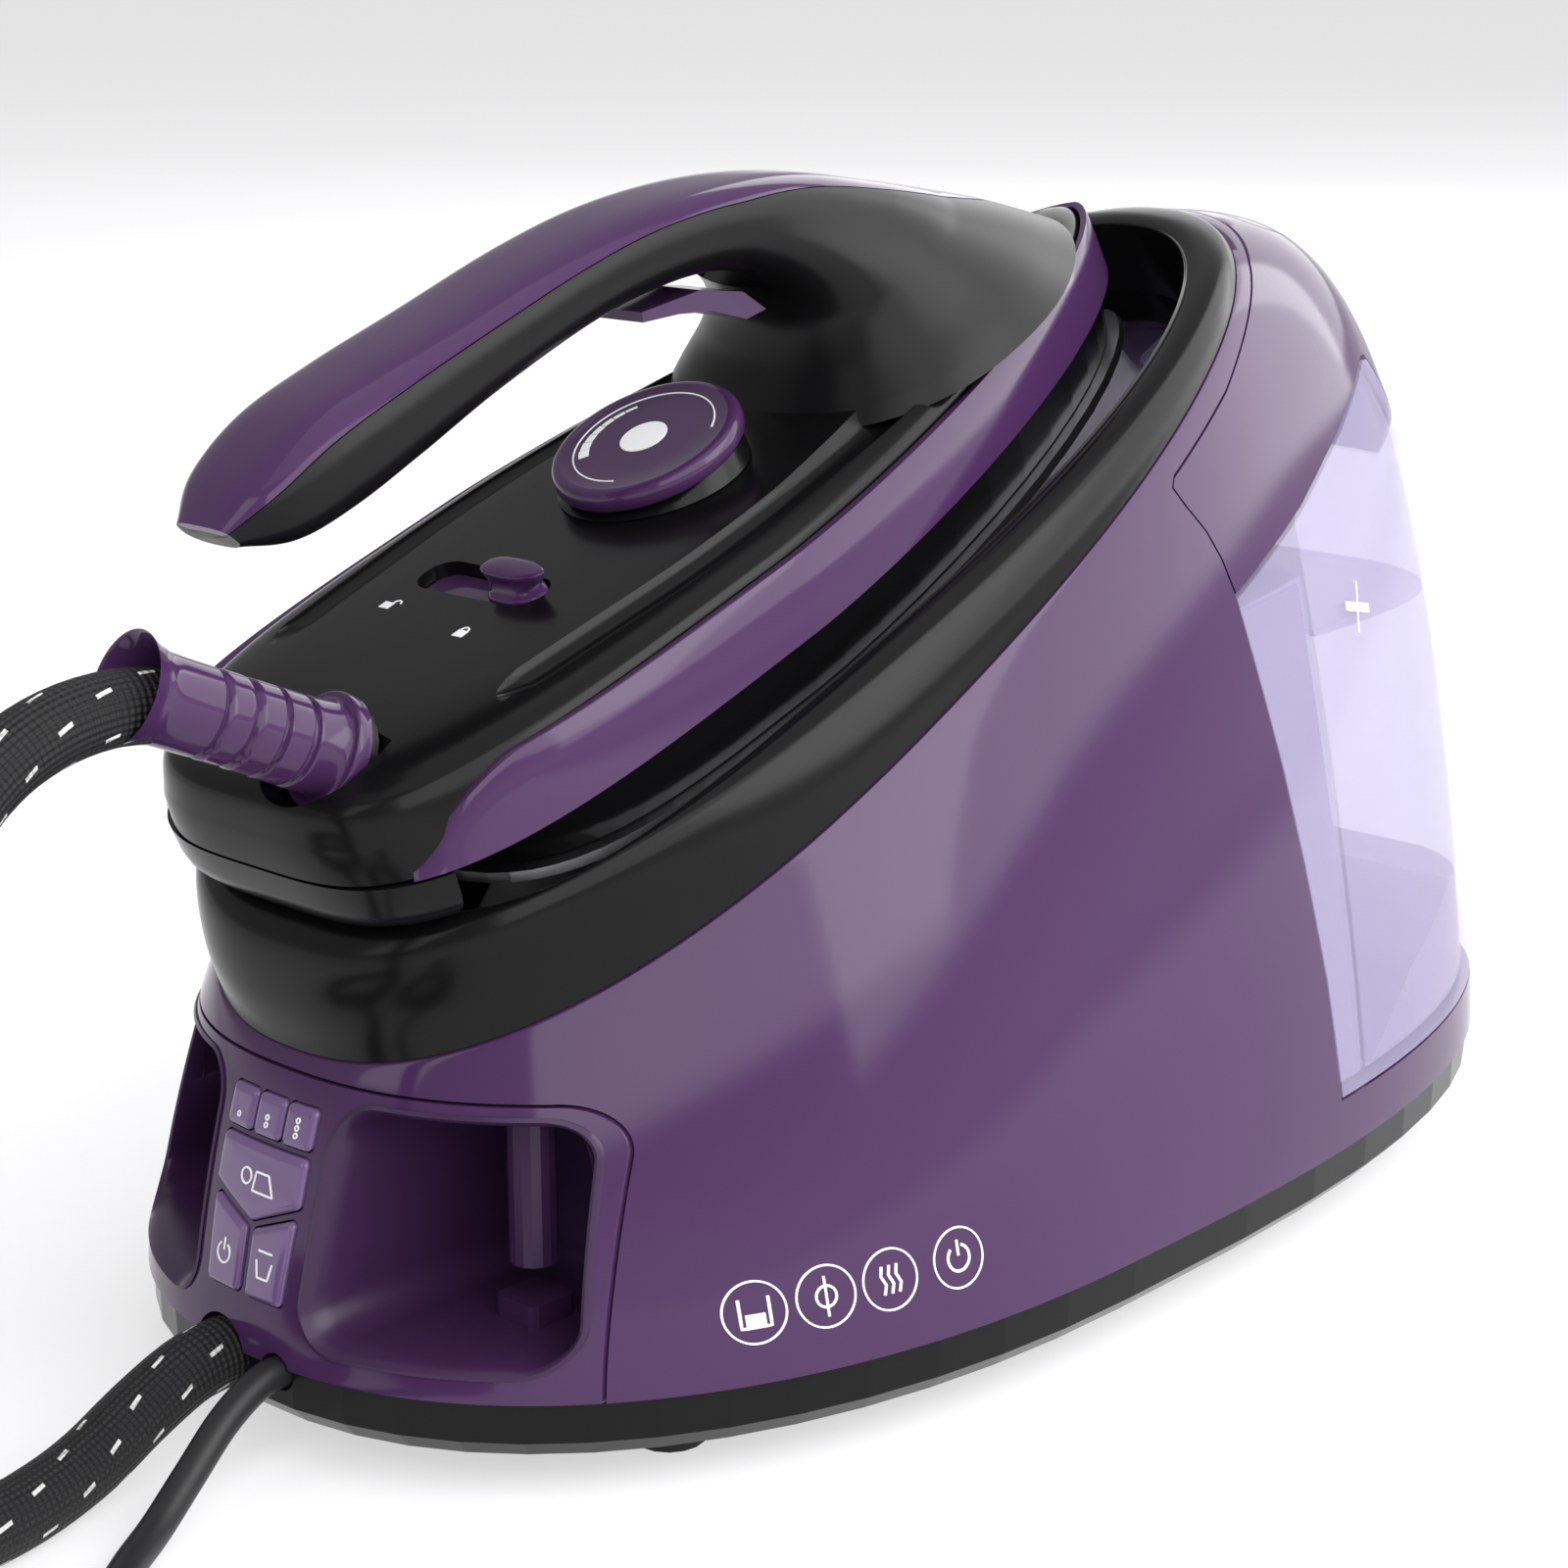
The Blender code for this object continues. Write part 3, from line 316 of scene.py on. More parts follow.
def skin_rings(inset, around=240, levels=56):
    turn, level = np.meshgrid(np.linspace(0, TAU, around, endpoint=False), np.linspace(0, 1, levels))
    return skin(turn, level, inset)


def skin_wall(outside, inside):
    """A closed wall between two depths of the station's side."""
    rings = np.concatenate([skin_rings(outside), skin_rings(inside)[::-1]])
    return outward(sheet_mesh("wall", rings, wrap_rows=True, wrap_columns=True))


def skin_block(inset):
    return outward(sheet_mesh("block", skin_rings(inset), wrap_columns=True, cap=True))


def walk(turn, level, aim, axes, rounds, longest):
    """A place on the skin whose two named coordinates have the aimed values: turn and level step there by the
    skin's own slopes, each step no longer than given."""
    first, second = axes
    for _ in range(rounds):
        here, step = skin(turn, level), 1e-4
        by_turn = (skin(turn + step, level) - here) / step
        by_level = (skin(turn, level + step) - here) / step
        a, b, c, d = by_turn[..., first], by_level[..., first], by_turn[..., second], by_level[..., second]
        left, right = aim[0] - here[..., first], aim[1] - here[..., second]
        det = a * d - b * c
        turn = turn + np.clip((d * left - b * right) / det, -longest[0], longest[0])
        level = np.clip(level + np.clip((a * right - c * left) / det, -longest[1], longest[1]), 0.004, 0.98)
    return skin(turn, level)


def side_x(y, z):
    """x of the station's right side at y, z."""
    y, z = np.asarray(y, float), np.asarray(z, float)
    turn = np.full(y.shape, 1.5) - (y + 0.03) * -5.0
    return walk(turn, np.clip(z / 0.25, 0.05, 0.6), (y, z), (1, 2), 60, (0.1, 0.08))[..., 0]


def front_y(x, z):
    """Depth of the station's front at x, z."""
    x, z = np.asarray(x, float), np.asarray(z, float)
    turn = np.arcsin(np.clip(x / 0.12, -1, 1))
    return walk(turn, np.full(x.shape, 0.4), (x, z), (0, 2), 40, (0.15, 0.1))[..., 1]


def on_front(outline, depth):
    """An outline of x, z laid on the station's front, pushed in by a depth."""
    return np.stack([outline[:, 0], front_y(outline[:, 0], outline[:, 1]) + depth, outline[:, 1]], axis=1)


# ------------------------------------------------------------------ materials


def shader(
    name, colour, roughness, metallic=0.0, specular=0.5, coat=0.0, alpha=1.0, transmission=0.0, ior=1.45,
):
    """A Principled surface with plain values on its own sockets."""
    made = bpy.data.materials.new(name)
    made.use_nodes = True
    s = made.node_tree.nodes["Principled BSDF"]
    values = {
        "Base Color": (*colour, 1.0), "Roughness": roughness, "Metallic": metallic,
        "Specular IOR Level": specular, "Coat Weight": coat, "Coat Roughness": 0.04, "Alpha": alpha,
        "Transmission Weight": transmission, "IOR": ior,
    }
    for socket, value in values.items():
        s.inputs[socket].default_value = value
    return made


def grained(made, scale, strength, distance=0.0002):
    """Add a fine moulded grain to a material through a noise bump on object coordinates."""
    tree = made.node_tree
    s = tree.nodes["Principled BSDF"]
    places = tree.nodes.new("ShaderNodeTexCoord")
    noise = tree.nodes.new("ShaderNodeTexNoise")
    bump = tree.nodes.new("ShaderNodeBump")
    noise.inputs["Scale"].default_value = scale
    noise.inputs["Detail"].default_value = 3
    bump.inputs["Strength"].default_value = strength
    bump.inputs["Distance"].default_value = distance
    tree.links.new(places.outputs["Object"], noise.inputs["Vector"])
    tree.links.new(noise.outputs["Fac"], bump.inputs["Height"])
    tree.links.new(bump.outputs["Normal"], s.inputs["Normal"])
    return made


def braided(name, radius):
    """A textile hose: crossing dark threads and short pale flecks, on a UV map of turns and metres along."""
    made = shader(name, (0.012, 0.012, 0.013), 0.62, specular=0.35)
    tree = made.node_tree
    s = tree.nodes["Principled BSDF"]
    uv = tree.nodes.new("ShaderNodeUVMap")
    uv.uv_map = "run"
    split = tree.nodes.new("ShaderNodeSeparateXYZ")
    tree.links.new(uv.outputs["UV"], split.inputs["Vector"])

    def maths(kind, first, second=None):
        node = tree.nodes.new("ShaderNodeMath")
        node.operation = kind
        for socket, value in zip(node.inputs, (first, second), strict=False):
            if value is None:
                continue
            if isinstance(value, float):
                socket.default_value = value
            else:
                tree.links.new(value, socket)
        return node.outputs["Value"]

    around = maths("MULTIPLY", split.outputs["X"], 16.0)
    along = maths("MULTIPLY", split.outputs["Y"], 16.0 / (TAU * radius))
    left = maths("SINE", maths("MULTIPLY", maths("ADD", around, along), TAU))
    right = maths("SINE", maths("MULTIPLY", maths("SUBTRACT", around, along), TAU))
    weave = maths("MULTIPLY", left, right)
    bump = tree.nodes.new("ShaderNodeBump")
    bump.inputs["Strength"].default_value = 0.8
    bump.inputs["Distance"].default_value = 0.0005
    tree.links.new(weave, bump.inputs["Height"])
    tree.links.new(bump.outputs["Normal"], s.inputs["Normal"])
    # pale flecks: one short stroke in each cell of a staggered pattern that winds round the hose
    row = maths("MULTIPLY", split.outputs["Y"], 1 / 0.0105)
    shift = maths("MULTIPLY", maths("FLOOR", row), 0.37)
    cell = maths("ADD", maths("MULTIPLY", split.outputs["X"], 5.0), shift)
    cell = maths("ADD", cell, maths("MULTIPLY", maths("FRACT", row), 0.22))
    across = maths("ABSOLUTE", maths("SUBTRACT", maths("FRACT", cell), 0.5))
    lengthwise = maths("ABSOLUTE", maths("SUBTRACT", maths("FRACT", row), 0.5))
    fleck = maths("MULTIPLY", maths("LESS_THAN", across, 0.05), maths("LESS_THAN", lengthwise, 0.17))
    mix = tree.nodes.new("ShaderNodeMix")
    mix.data_type = "RGBA"
    mix.inputs[6].default_value = (0.012, 0.012, 0.013, 1)
    mix.inputs[7].default_value = (0.62, 0.62, 0.60, 1)
    tree.links.new(fleck, mix.inputs[0])
    tree.links.new(mix.outputs[2], s.inputs["Base Color"])
    return made


PURPLE = grained(shader("purple_gloss", (0.052, 0.019, 0.072), 0.10, specular=0.40), 1400, 0.02, 0.00005)
PURPLE_DARK = grained(
    shader("purple_inside", (0.036, 0.013, 0.050), 0.30, specular=0.35), 1400, 0.05, 0.0001,
)
PURPLE_CLEAR = grained(shader("purple_key", (0.135, 0.075, 0.190), 0.10, specular=0.6, coat=0.3), 500, 0.05)
BLACK = grained(shader("black_gloss", (0.0040, 0.0040, 0.0044), 0.20, specular=0.22), 1800, 0.03, 0.00008)
BLACK_SATIN = grained(
    shader("black_satin", (0.0045, 0.0045, 0.0050), 0.30, specular=0.22), 2600, 0.08, 0.0001,
)
TANK_CLEAR = grained(
    shader("tank_clear", (0.46, 0.42, 0.62), 0.05, specular=0.45, alpha=0.34), 300, 0.03, 0.0001,
)
TANK_MILKY = grained(shader("tank_milky", (0.30, 0.26, 0.40), 0.25, specular=0.4, alpha=0.60), 400, 0.05)
TANK_SMOKY = grained(shader("tank_smoky", (0.105, 0.070, 0.150), 0.16, specular=0.4, alpha=0.88), 400, 0.04)
WHITE = shader("white_print", (0.86, 0.86, 0.88), 0.4, specular=0.3)
STEEL = grained(shader("sole_steel", (0.52, 0.52, 0.54), 0.28, metallic=1.0), 900, 0.08)
ALUMINIUM = grained(shader("cast_aluminium", (0.55, 0.55, 0.56), 0.45, metallic=1.0), 700, 0.25)
BRASS = grained(shader("brass", (0.55, 0.40, 0.16), 0.35, metallic=1.0), 900, 0.1)
BOARD = grained(shader("board", (0.02, 0.12, 0.05), 0.5), 900, 0.1)
RUBBER = grained(shader("black_rubber", (0.014, 0.014, 0.015), 0.6, specular=0.3), 1500, 0.15)
SHEATH = shader("cord_sheath", (0.014, 0.014, 0.015), 0.42, specular=0.4)
BRAID = braided("hose_braid", HOSE_DIAMETER / 2)

# ------------------------------------------------------------------ camera, light and floor


def make_camera():
    data = bpy.data.cameras.new("camera")
    data.lens, data.sensor_width = 72, 36
    camera = bpy.data.objects.new("camera", data)
    bpy.context.scene.collection.objects.link(camera)
    right = Vector((0.7302, 0.6833, 0.0)).normalized()
    back = Vector((0.6591, -0.7043, 0.2637)).normalized()
    up = back.cross(right)
    turn = Matrix((right, up, back)).transposed().to_4x4()
    camera.matrix_world = Matrix.Translation((0.49339, -0.56045, 0.30872)) @ turn
    bpy.context.scene.camera = camera


def soft_light(name, place, aim, size, power, tint=(1, 1, 1)):
    data = bpy.data.lights.new(name, "AREA")
    data.shape = "RECTANGLE"
    data.size, data.size_y = size
    data.energy = power
    data.color = tint
    made = bpy.data.objects.new(name, data)
    made.location = place
    made.rotation_euler = (Vector(aim) - Vector(place)).to_track_quat("-Z", "Y").to_euler()
    bpy.context.scene.collection.objects.link(made)


def make_studio():
    world = bpy.data.worlds.new("studio")
    world.use_nodes = True
    tree = world.node_tree
    tree.nodes["Background"].inputs["Strength"].default_value = 1.0
    places = tree.nodes.new("ShaderNodeTexCoord")
    split = tree.nodes.new("ShaderNodeSeparateXYZ")
    ramp = tree.nodes.new("ShaderNodeValToRGB")
    ramp.color_ramp.elements[0].position, ramp.color_ramp.elements[0].color = 0.03, (1.0, 1.0, 1.0, 1)
    ramp.color_ramp.elements[1].position, ramp.color_ramp.elements[1].color = 0.16, (0.42, 0.42, 0.43, 1)
    tree.links.new(places.outputs["Generated"], split.inputs["Vector"])
    tree.links.new(split.outputs["Z"], ramp.inputs["Fac"])
    tree.links.new(ramp.outputs["Color"], tree.nodes["Background"].inputs["Color"])
    bpy.context.scene.world = world
    for name, bearing, rise, width in (("panel_right", 101, 38, 5.2), ("panel_far_right", 41, 35, 4.9)):
        a, b = math.radians(bearing), math.radians(rise)
        place = (3 * math.sin(a) * math.cos(b), 3 * math.cos(a) * math.cos(b), 3 * math.sin(b))
        soft_light(name, place, (0, 0, 0), (width, 2.9), 112)
    soft_light("panel_above", (0.1, -0.2, 2.4), (0, 0, 0), (2.2, 2.2), 8)
    soft_light("panel_front", (-0.6, -2.6, 1.6), (0, -0.1, 0.2), (1.2, 1.6), 9)
    soft_light("panel_rear", (-0.8, 2.6, 1.3), (0, 0.1, 0.15), (2.5, 1.6), 20)
    size = 40.0
    grid = np.zeros((2, 2, 3))
    grid[..., 0] = np.array([-size, size])[None]
    grid[..., 1] = np.array([-size, size])[:, None]
    floor = bpy.data.objects.new("floor", sheet_mesh("floor", grid))
    paper = shader("floor_paper", (0.42, 0.42, 0.43), 0.9, specular=0.02)
    paper.node_tree.nodes["Principled BSDF"].inputs["Emission Color"].default_value = (1, 1, 1, 1)
    paper.node_tree.nodes["Principled BSDF"].inputs["Emission Strength"].default_value = 0.58
    floor.data.materials.append(paper)
    bpy.context.scene.collection.objects.link(floor)
    bpy.context.scene.view_settings.view_transform = "Standard"


# ------------------------------------------------------------------ cords


def spin_out(points, spacing):
    """A smooth even route through given points."""
    fine = flowing(points, 16)
    run = np.concatenate([[0], np.cumsum(np.linalg.norm(np.diff(fine, axis=0), axis=1))])
    even = np.linspace(0, run[-1], max(int(run[-1] / spacing), 4))
    return np.stack([np.interp(even, run, fine[:, k]) for k in range(3)], axis=1)


def length_of(route):
    return float(np.linalg.norm(np.diff(route, axis=0), axis=1).sum())


def tube(name, route, radius, sides=20):
    """A round tube along a route, with a UV map of turns round it and metres along it. Frames are carried
    along the route without twist: each side vector is the last one with its part along the new direction
    taken away."""
    along = np.gradient(route, axis=0)
    along /= np.linalg.norm(along, axis=1)[:, None]
    side = np.empty_like(route)
    side[0] = np.cross(along[0], (0.0, 0.0, 1.0))
    side[0] /= np.linalg.norm(side[0])
    for k in range(1, len(route)):
        carried = side[k - 1] - along[k] * (side[k - 1] @ along[k])
        side[k] = carried / np.linalg.norm(carried)
    other = np.cross(along, side)
    turn = np.linspace(0, TAU, sides, endpoint=False)
    radius = np.broadcast_to(radius, (len(route),))
    rings = route[:, None] + radius[:, None, None] * (
        side[:, None] * np.cos(turn)[None, :, None] + other[:, None] * np.sin(turn)[None, :, None]
    )
    mesh = sheet_mesh(name, rings, wrap_columns=True, cap=True)
    run = np.concatenate([[0], np.cumsum(np.linalg.norm(np.diff(route, axis=0), axis=1))])
    corners = np.empty(len(mesh.loops), dtype=np.int32)
    mesh.loops.foreach_get("vertex_index", corners)
    row, column = np.divmod(corners, sides)
    row = np.minimum(row, len(route) - 1)
    share = column / sides
    first = np.empty(len(mesh.polygons), dtype=np.int32)
    sizes = np.empty(len(mesh.polygons), dtype=np.int32)
    mesh.polygons.foreach_get("loop_start", first)
    mesh.polygons.foreach_get("loop_total", sizes)
    highest = np.maximum.reduceat(share, first)
    share = np.where(np.repeat(highest, sizes) - share > 0.5, share + 1.0, share)
    places = np.stack([share, run[row]], axis=1)
    layer = mesh.uv_layers.new(name="run")
    layer.data.foreach_set("uv", places.ravel())
    return outward(mesh)


def coil_turns(centre, mean_radius, diameter, start_turn, sense, turns, columns, floor):
    """Turns of a neat coil: each full turn keeps its own lane and layer, and the change to the next lane is
    spread over the last fifth of the turn."""
    lanes = []
    pitch = diameter * 1.03
    count = int(math.ceil(turns)) + 1
    for k in range(count):
        layer, lane = divmod(k, columns)
        lane = lane if layer % 2 == 0 else columns - 1 - lane
        lanes.append((mean_radius + (lane - (columns - 1) / 2) * pitch, floor + layer * diameter * 0.93))
    lanes = np.array(lanes)
    t = np.linspace(0, turns, int(turns * 40))
    whole = np.minimum(np.floor(t).astype(int), count - 2)
    ease = np.clip((t - whole - 0.72) / 0.28, 0, 1)
    ease = ease * ease * (3 - 2 * ease)
    radius, height = (lanes[whole] + (lanes[whole + 1] - lanes[whole]) * ease[:, None]).T
    angle = start_turn + sense * t * TAU
    return np.stack(
        [centre[0] + radius * np.cos(angle), centre[1] + radius * np.sin(angle), height], axis=1,
    )


def make_hose():
    """Hose from the station's front, wound into a coil, up to the sleeve on the iron's heel."""
    lower = [
        (-0.0065, -0.1890, 0.0197), (-0.0065, -0.1960, 0.0195), (-0.0063, -0.2080, 0.0186),
        (-0.0045, -0.2220, 0.0146), (-0.0012, -0.2380, 0.0096), (0.0025, -0.2550, 0.0078),
        (0.0045, -0.2740, 0.0078), (0.0025, -0.2950, 0.0078), (-0.0065, -0.3170, 0.0078),
        (-0.0220, -0.3330, 0.0078),
    ]
    upper = [
        (0.0379, -0.3813, 0.0424), (0.0369, -0.3567, 0.0460), (0.0342, -0.3349, 0.0577),
        (0.0299, -0.3181, 0.0756), (0.0230, -0.2994, 0.1041), (0.0162, -0.2806, 0.1326),
        (0.0127, -0.2704, 0.1474), (0.0110, -0.2632, 0.1544), (0.0097, -0.2548, 0.1599),
        (0.0089, -0.2455, 0.1638), (0.0084, -0.2356, 0.1659), (0.0084, -0.2255, 0.1663),
        (0.0089, -0.2155, 0.1647), (0.0098, -0.2060, 0.1614),
    ]
    turns = coil_turns(
        HOSE_COIL_CENTRE, HOSE_COIL_RADIUS, HOSE_DIAMETER, math.radians(88), 1, 2.76, 2, 0.0078,
    )
    route = spin_out(np.vstack([lower, turns[4:-2:3], upper]), 0.0035)
    mesh = tube("steam_hose", route, HOSE_DIAMETER / 2, sides=24)
    made = piece("steam_hose", mesh, BRAID, None, stands_for=("hose_lower", "hose_coil", "hose_upper"))
    print("hose length", length_of(route))
    return made, route


def make_mains():
    """Lead from the station's front, wound into a coil, to its plug."""
    start = [
        (0.0115, -0.1900, 0.0206), (0.0115, -0.1960, 0.0205), (0.0120, -0.2040, 0.0200),
        (0.0145, -0.2150, 0.0162), (0.0185, -0.2270, 0.0100), (0.0235, -0.2390, 0.0050),
        (0.0304, -0.2510, 0.0037), (0.0400, -0.2630, 0.0037), (0.0530, -0.2740, 0.0037),
        (0.0660, -0.2800, 0.0037),
    ]
    end = [
        (0.1448, -0.3420, 0.0075), (0.1450, -0.3540, 0.0090), (0.1450, -0.3660, 0.0130),
        (0.1450, -0.3790, 0.0172), (0.1450, -0.3935, 0.0182),
    ]
    turns = coil_turns(
        MAINS_COIL_CENTRE, MAINS_COIL_RADIUS, MAINS_DIAMETER, math.radians(95), -1, 6.25, 3, 0.0037,
    )
    route = spin_out(np.vstack([start, turns[6:-4:4], end]), 0.0022)
    mesh = tube("mains_lead", route, MAINS_DIAMETER / 2, sides=14)
    made = piece(
        "mains_lead", mesh, SHEATH, "station", stands_for=("mains_cord", "mains_coil", "mains_tail"),
    )
    print("mains length", length_of(route))
    return made, route


# ------------------------------------------------------------------ station


def key_outlines():
    """The outlines of the lamps and keys on the front, as x and z."""
    shapes = {}
    for x, name in ((-0.0093, "lamp_low"), (0.0, "lamp_medium"), (0.0093, "lamp_high")):
        half, low, high = 0.0043, 0.0668, 0.0752
        shapes[name] = rounded(
            [(x - half, low), (x + half, low), (x + half, high), (x - half, high)], 0.0012, 5,
        )
    steam = [(-0.0136, 0.0553), (0.0, 0.0497), (0.0136, 0.0553), (0.0136, 0.0652), (-0.0136, 0.0652)]
    shapes["key_steam"] = rounded(steam, 0.0014, 5)
    lower = [(0.0010, 0.0345), (0.0120, 0.0345), (0.0132, 0.0530), (0.0010, 0.0482)]
    for side, name in ((-1, "key_power"), (1, "key_descale")):
        shapes[name] = rounded([(side * x, z) for x, z in lower][::side], 0.0012, 5)
    return shapes


def bay_outline(side, inset=0.0):
    corners = [(0.0180, 0.0785), (0.0655, 0.0785), (0.0712, 0.0272), (0.0165, 0.0272)]
    outline = rounded(corners, 0.010, 12)
    outline = grown(outline, -inset) if inset else outline
    return outline * (side, 1) if side > 0 else (outline * (side, 1))[::-1]


def panel_outline(inset=0.0):
    outline = rounded([(-0.0750, 0.0100), (0.0750, 0.0100), (0.0690, 0.0812), (-0.0690, 0.0812)], 0.012, 14)
    return grown(outline, -inset) if inset else outline


def make_shell():
    """The purple side of the station and its front panel, parted by a fine seam."""
    tank_side = SEAM + [(0.26, LEDGE_Z), (0.26, 0.2560)]
    shell = carve(
        skin_wall(0.0, 0.0025),
        [
            ("DIFFERENCE", slab(tank_side, "X", -0.2, 0.2)),
            ("DIFFERENCE", slab(panel_outline(), "Y", -0.26, -0.10)),
        ],
    )
    piece("station_side", shell, PURPLE, "station", stands_for=["main_shell"], sharp=32)
    steps = [("INTERSECT", slab(panel_outline(SEAM_GAP), "Y", -0.26, -0.10))]
    steps += [("DIFFERENCE", slab(bay_outline(side), "Y", -0.26, -0.12)) for side in (1, -1)]
    steps += [
        ("DIFFERENCE", slab(grown(shape, 0.0004), "Y", -0.26, -0.12)) for shape in key_outlines().values()
    ]
    turn = np.linspace(0, TAU, 40, endpoint=False)[::-1]
    for x, z, radius in ((-0.0065, 0.0195, 0.0086), (0.0115, 0.0205, 0.0043)):
        circle = np.stack([x + radius * np.cos(turn), z + radius * np.sin(turn)], axis=1)
        steps.append(("DIFFERENCE", slab(circle, "Y", -0.26, -0.12)))
    panel = carve(skin_wall(0.0, 0.0025), steps)
    piece("front_plate", panel, PURPLE, "station", stands_for=["front_panel"], sharp=32)


def make_bays():
    """Each cord bay is one surface: a rolled lip on the front, walls that draw in, and a flat back."""
    for side, word in ((1, "right"), (-1, "left")):
        steps = [
            (-0.0002, -0.0004), (0.0006, -0.0006), (0.0014, 0.0004), (0.0020, 0.0022), (0.0024, 0.0060),
        ]
        rings = [on_front(evened(bay_outline(side, inset), 160), depth) for inset, depth in steps]
        for inset, y in ((0.0028, -0.158), (0.0032, -0.143), (0.0046, -0.1372), (0.0080, -0.1355)):
            loop = evened(bay_outline(side, inset), 160)
            rings.append(np.stack([loop[:, 0], np.full(160, y), loop[:, 1]], axis=1))
        inner = np.array(rings)
        outer = [np.stack([loop[:, 0], np.full(160, y), loop[:, 1]], axis=1) for loop, y in
                 ((evened(bay_outline(side, 0.0075), 160), -0.1335), (evened(bay_outline(side, 0.0006), 160), -0.1345))]
        lip = on_front(evened(bay_outline(side, 0.0006), 160), 0.0040)
        rings = np.concatenate([inner, np.array(outer), lip[None]])
        mesh = sheet_mesh(f"bay_{word}", rings, wrap_columns=True)
        count = 160
        back, rear = (len(inner) - 1) * count, len(inner) * count
        points = [v.co[:] for v in mesh.vertices]
        faces = [
            list(p.vertices) for p in mesh.polygons if not (
                min(p.vertices) >= back and min(p.vertices) < rear and max(p.vertices) >= rear
            )
        ]
        faces += [list(range(back, back + count)), list(range(rear, rear + count))[::-1]]
        last = (len(inner) + 2) * count
        faces += [[last + i, last + (i + 1) % count, (i + 1) % count, i] for i in range(count)]
        closed = bpy.data.meshes.new(f"bay_{word}")
        closed.from_pydata(points, [], faces)
        piece(
            f"bay_{word}", outward(closed), PURPLE_DARK, "station", stands_for=[f"cord_bay_{word}"],
            sharp=50,
        )


def make_keys():
    """Clear purple keys: a flat top that follows the front, a bevelled edge and straight sides."""
    homes = {
        "key_steam": "steam_key_body", "key_power": "power_key_body", "key_descale": "descale_key_body",
    }
    for name, shape in key_outlines().items():
        loop = evened(shape, 120)
        middle = shape.mean(axis=0)
        rings = [np.stack([loop[:, 0], np.full(120, -0.1785), loop[:, 1]], axis=1)]
        for inset, depth in ((0.0, -0.0004), (0.0003, -0.0008), (0.0009, -0.00115), (0.0016, -0.0012)):
            rings.append(on_front(grown(loop, -inset), depth))
        for shrink in (0.6, 0.3, 0.08):
            rings.append(on_front(middle + (grown(loop, -0.0016) - middle) * shrink, -0.0012))
        solid(f"{name}_cap", rings, PURPLE_CLEAR, homes.get(name, "station"), stands_for=[name], sharp=30)


def make_collar():
    """The black dish round the iron: one closed section carried round the rim, its opening squarer in front."""
    turn = np.linspace(0, TAU, 224, endpoint=False)
    outer, opening = egg(turn, *DISH_OUTER), egg(turn, *DISH_OPENING)

    def ring(share, n_front, n_rear):
        x, u = (a + (b - a) * share for a, b in zip(outer, opening, strict=True))
        return rim_place(x, u, n_front + (n_rear - n_front) * (u - 0.0004) / 0.3305)

    seen = flowing([
        (0.0, 0.0004, 0.0004), (0.10, 0.0120, 0.0020), (0.34, 0.0225, 0.0030), (0.64, 0.0268, 0.0034),
        (0.90, 0.0268, 0.0030), (1.0, 0.0240, 0.0018), (1.09, 0.0095, -0.0220),
    ], 9)
    under = [
        (1.16, 0.0065, -0.0245), (0.90, 0.0215, -0.0005), (0.60, 0.0225, 0.0005), (0.42, 0.0100, -0.0028),
        (0.30, -0.0028, -0.0028), (0.30, 0.0004, 0.0004),
    ]
    rings = [ring(*row) for row in np.vstack([seen, under])]
    solid("rest_dish", rings, BLACK, "station", wrap=True, stands_for=["rest_collar"], sharp=60)
    turn = np.linspace(0.35, 2.55, 60)
    x, u = (a + (b - a) * 1.02 for a, b in zip(egg(turn, *DISH_OUTER), egg(turn, *DISH_OPENING), strict=True))
    rail = rim_place(x - 0.0006, u, 0.0150 - 0.0180 * (u - 0.0004) / 0.3305)
    rail_radius = 0.0014 * np.sin(np.linspace(0.12, np.pi - 0.12, 60)) ** 0.5
    piece("rest_rib", tube("rest_rib", rail[::-1], rail_radius, 14), RUBBER, "station")


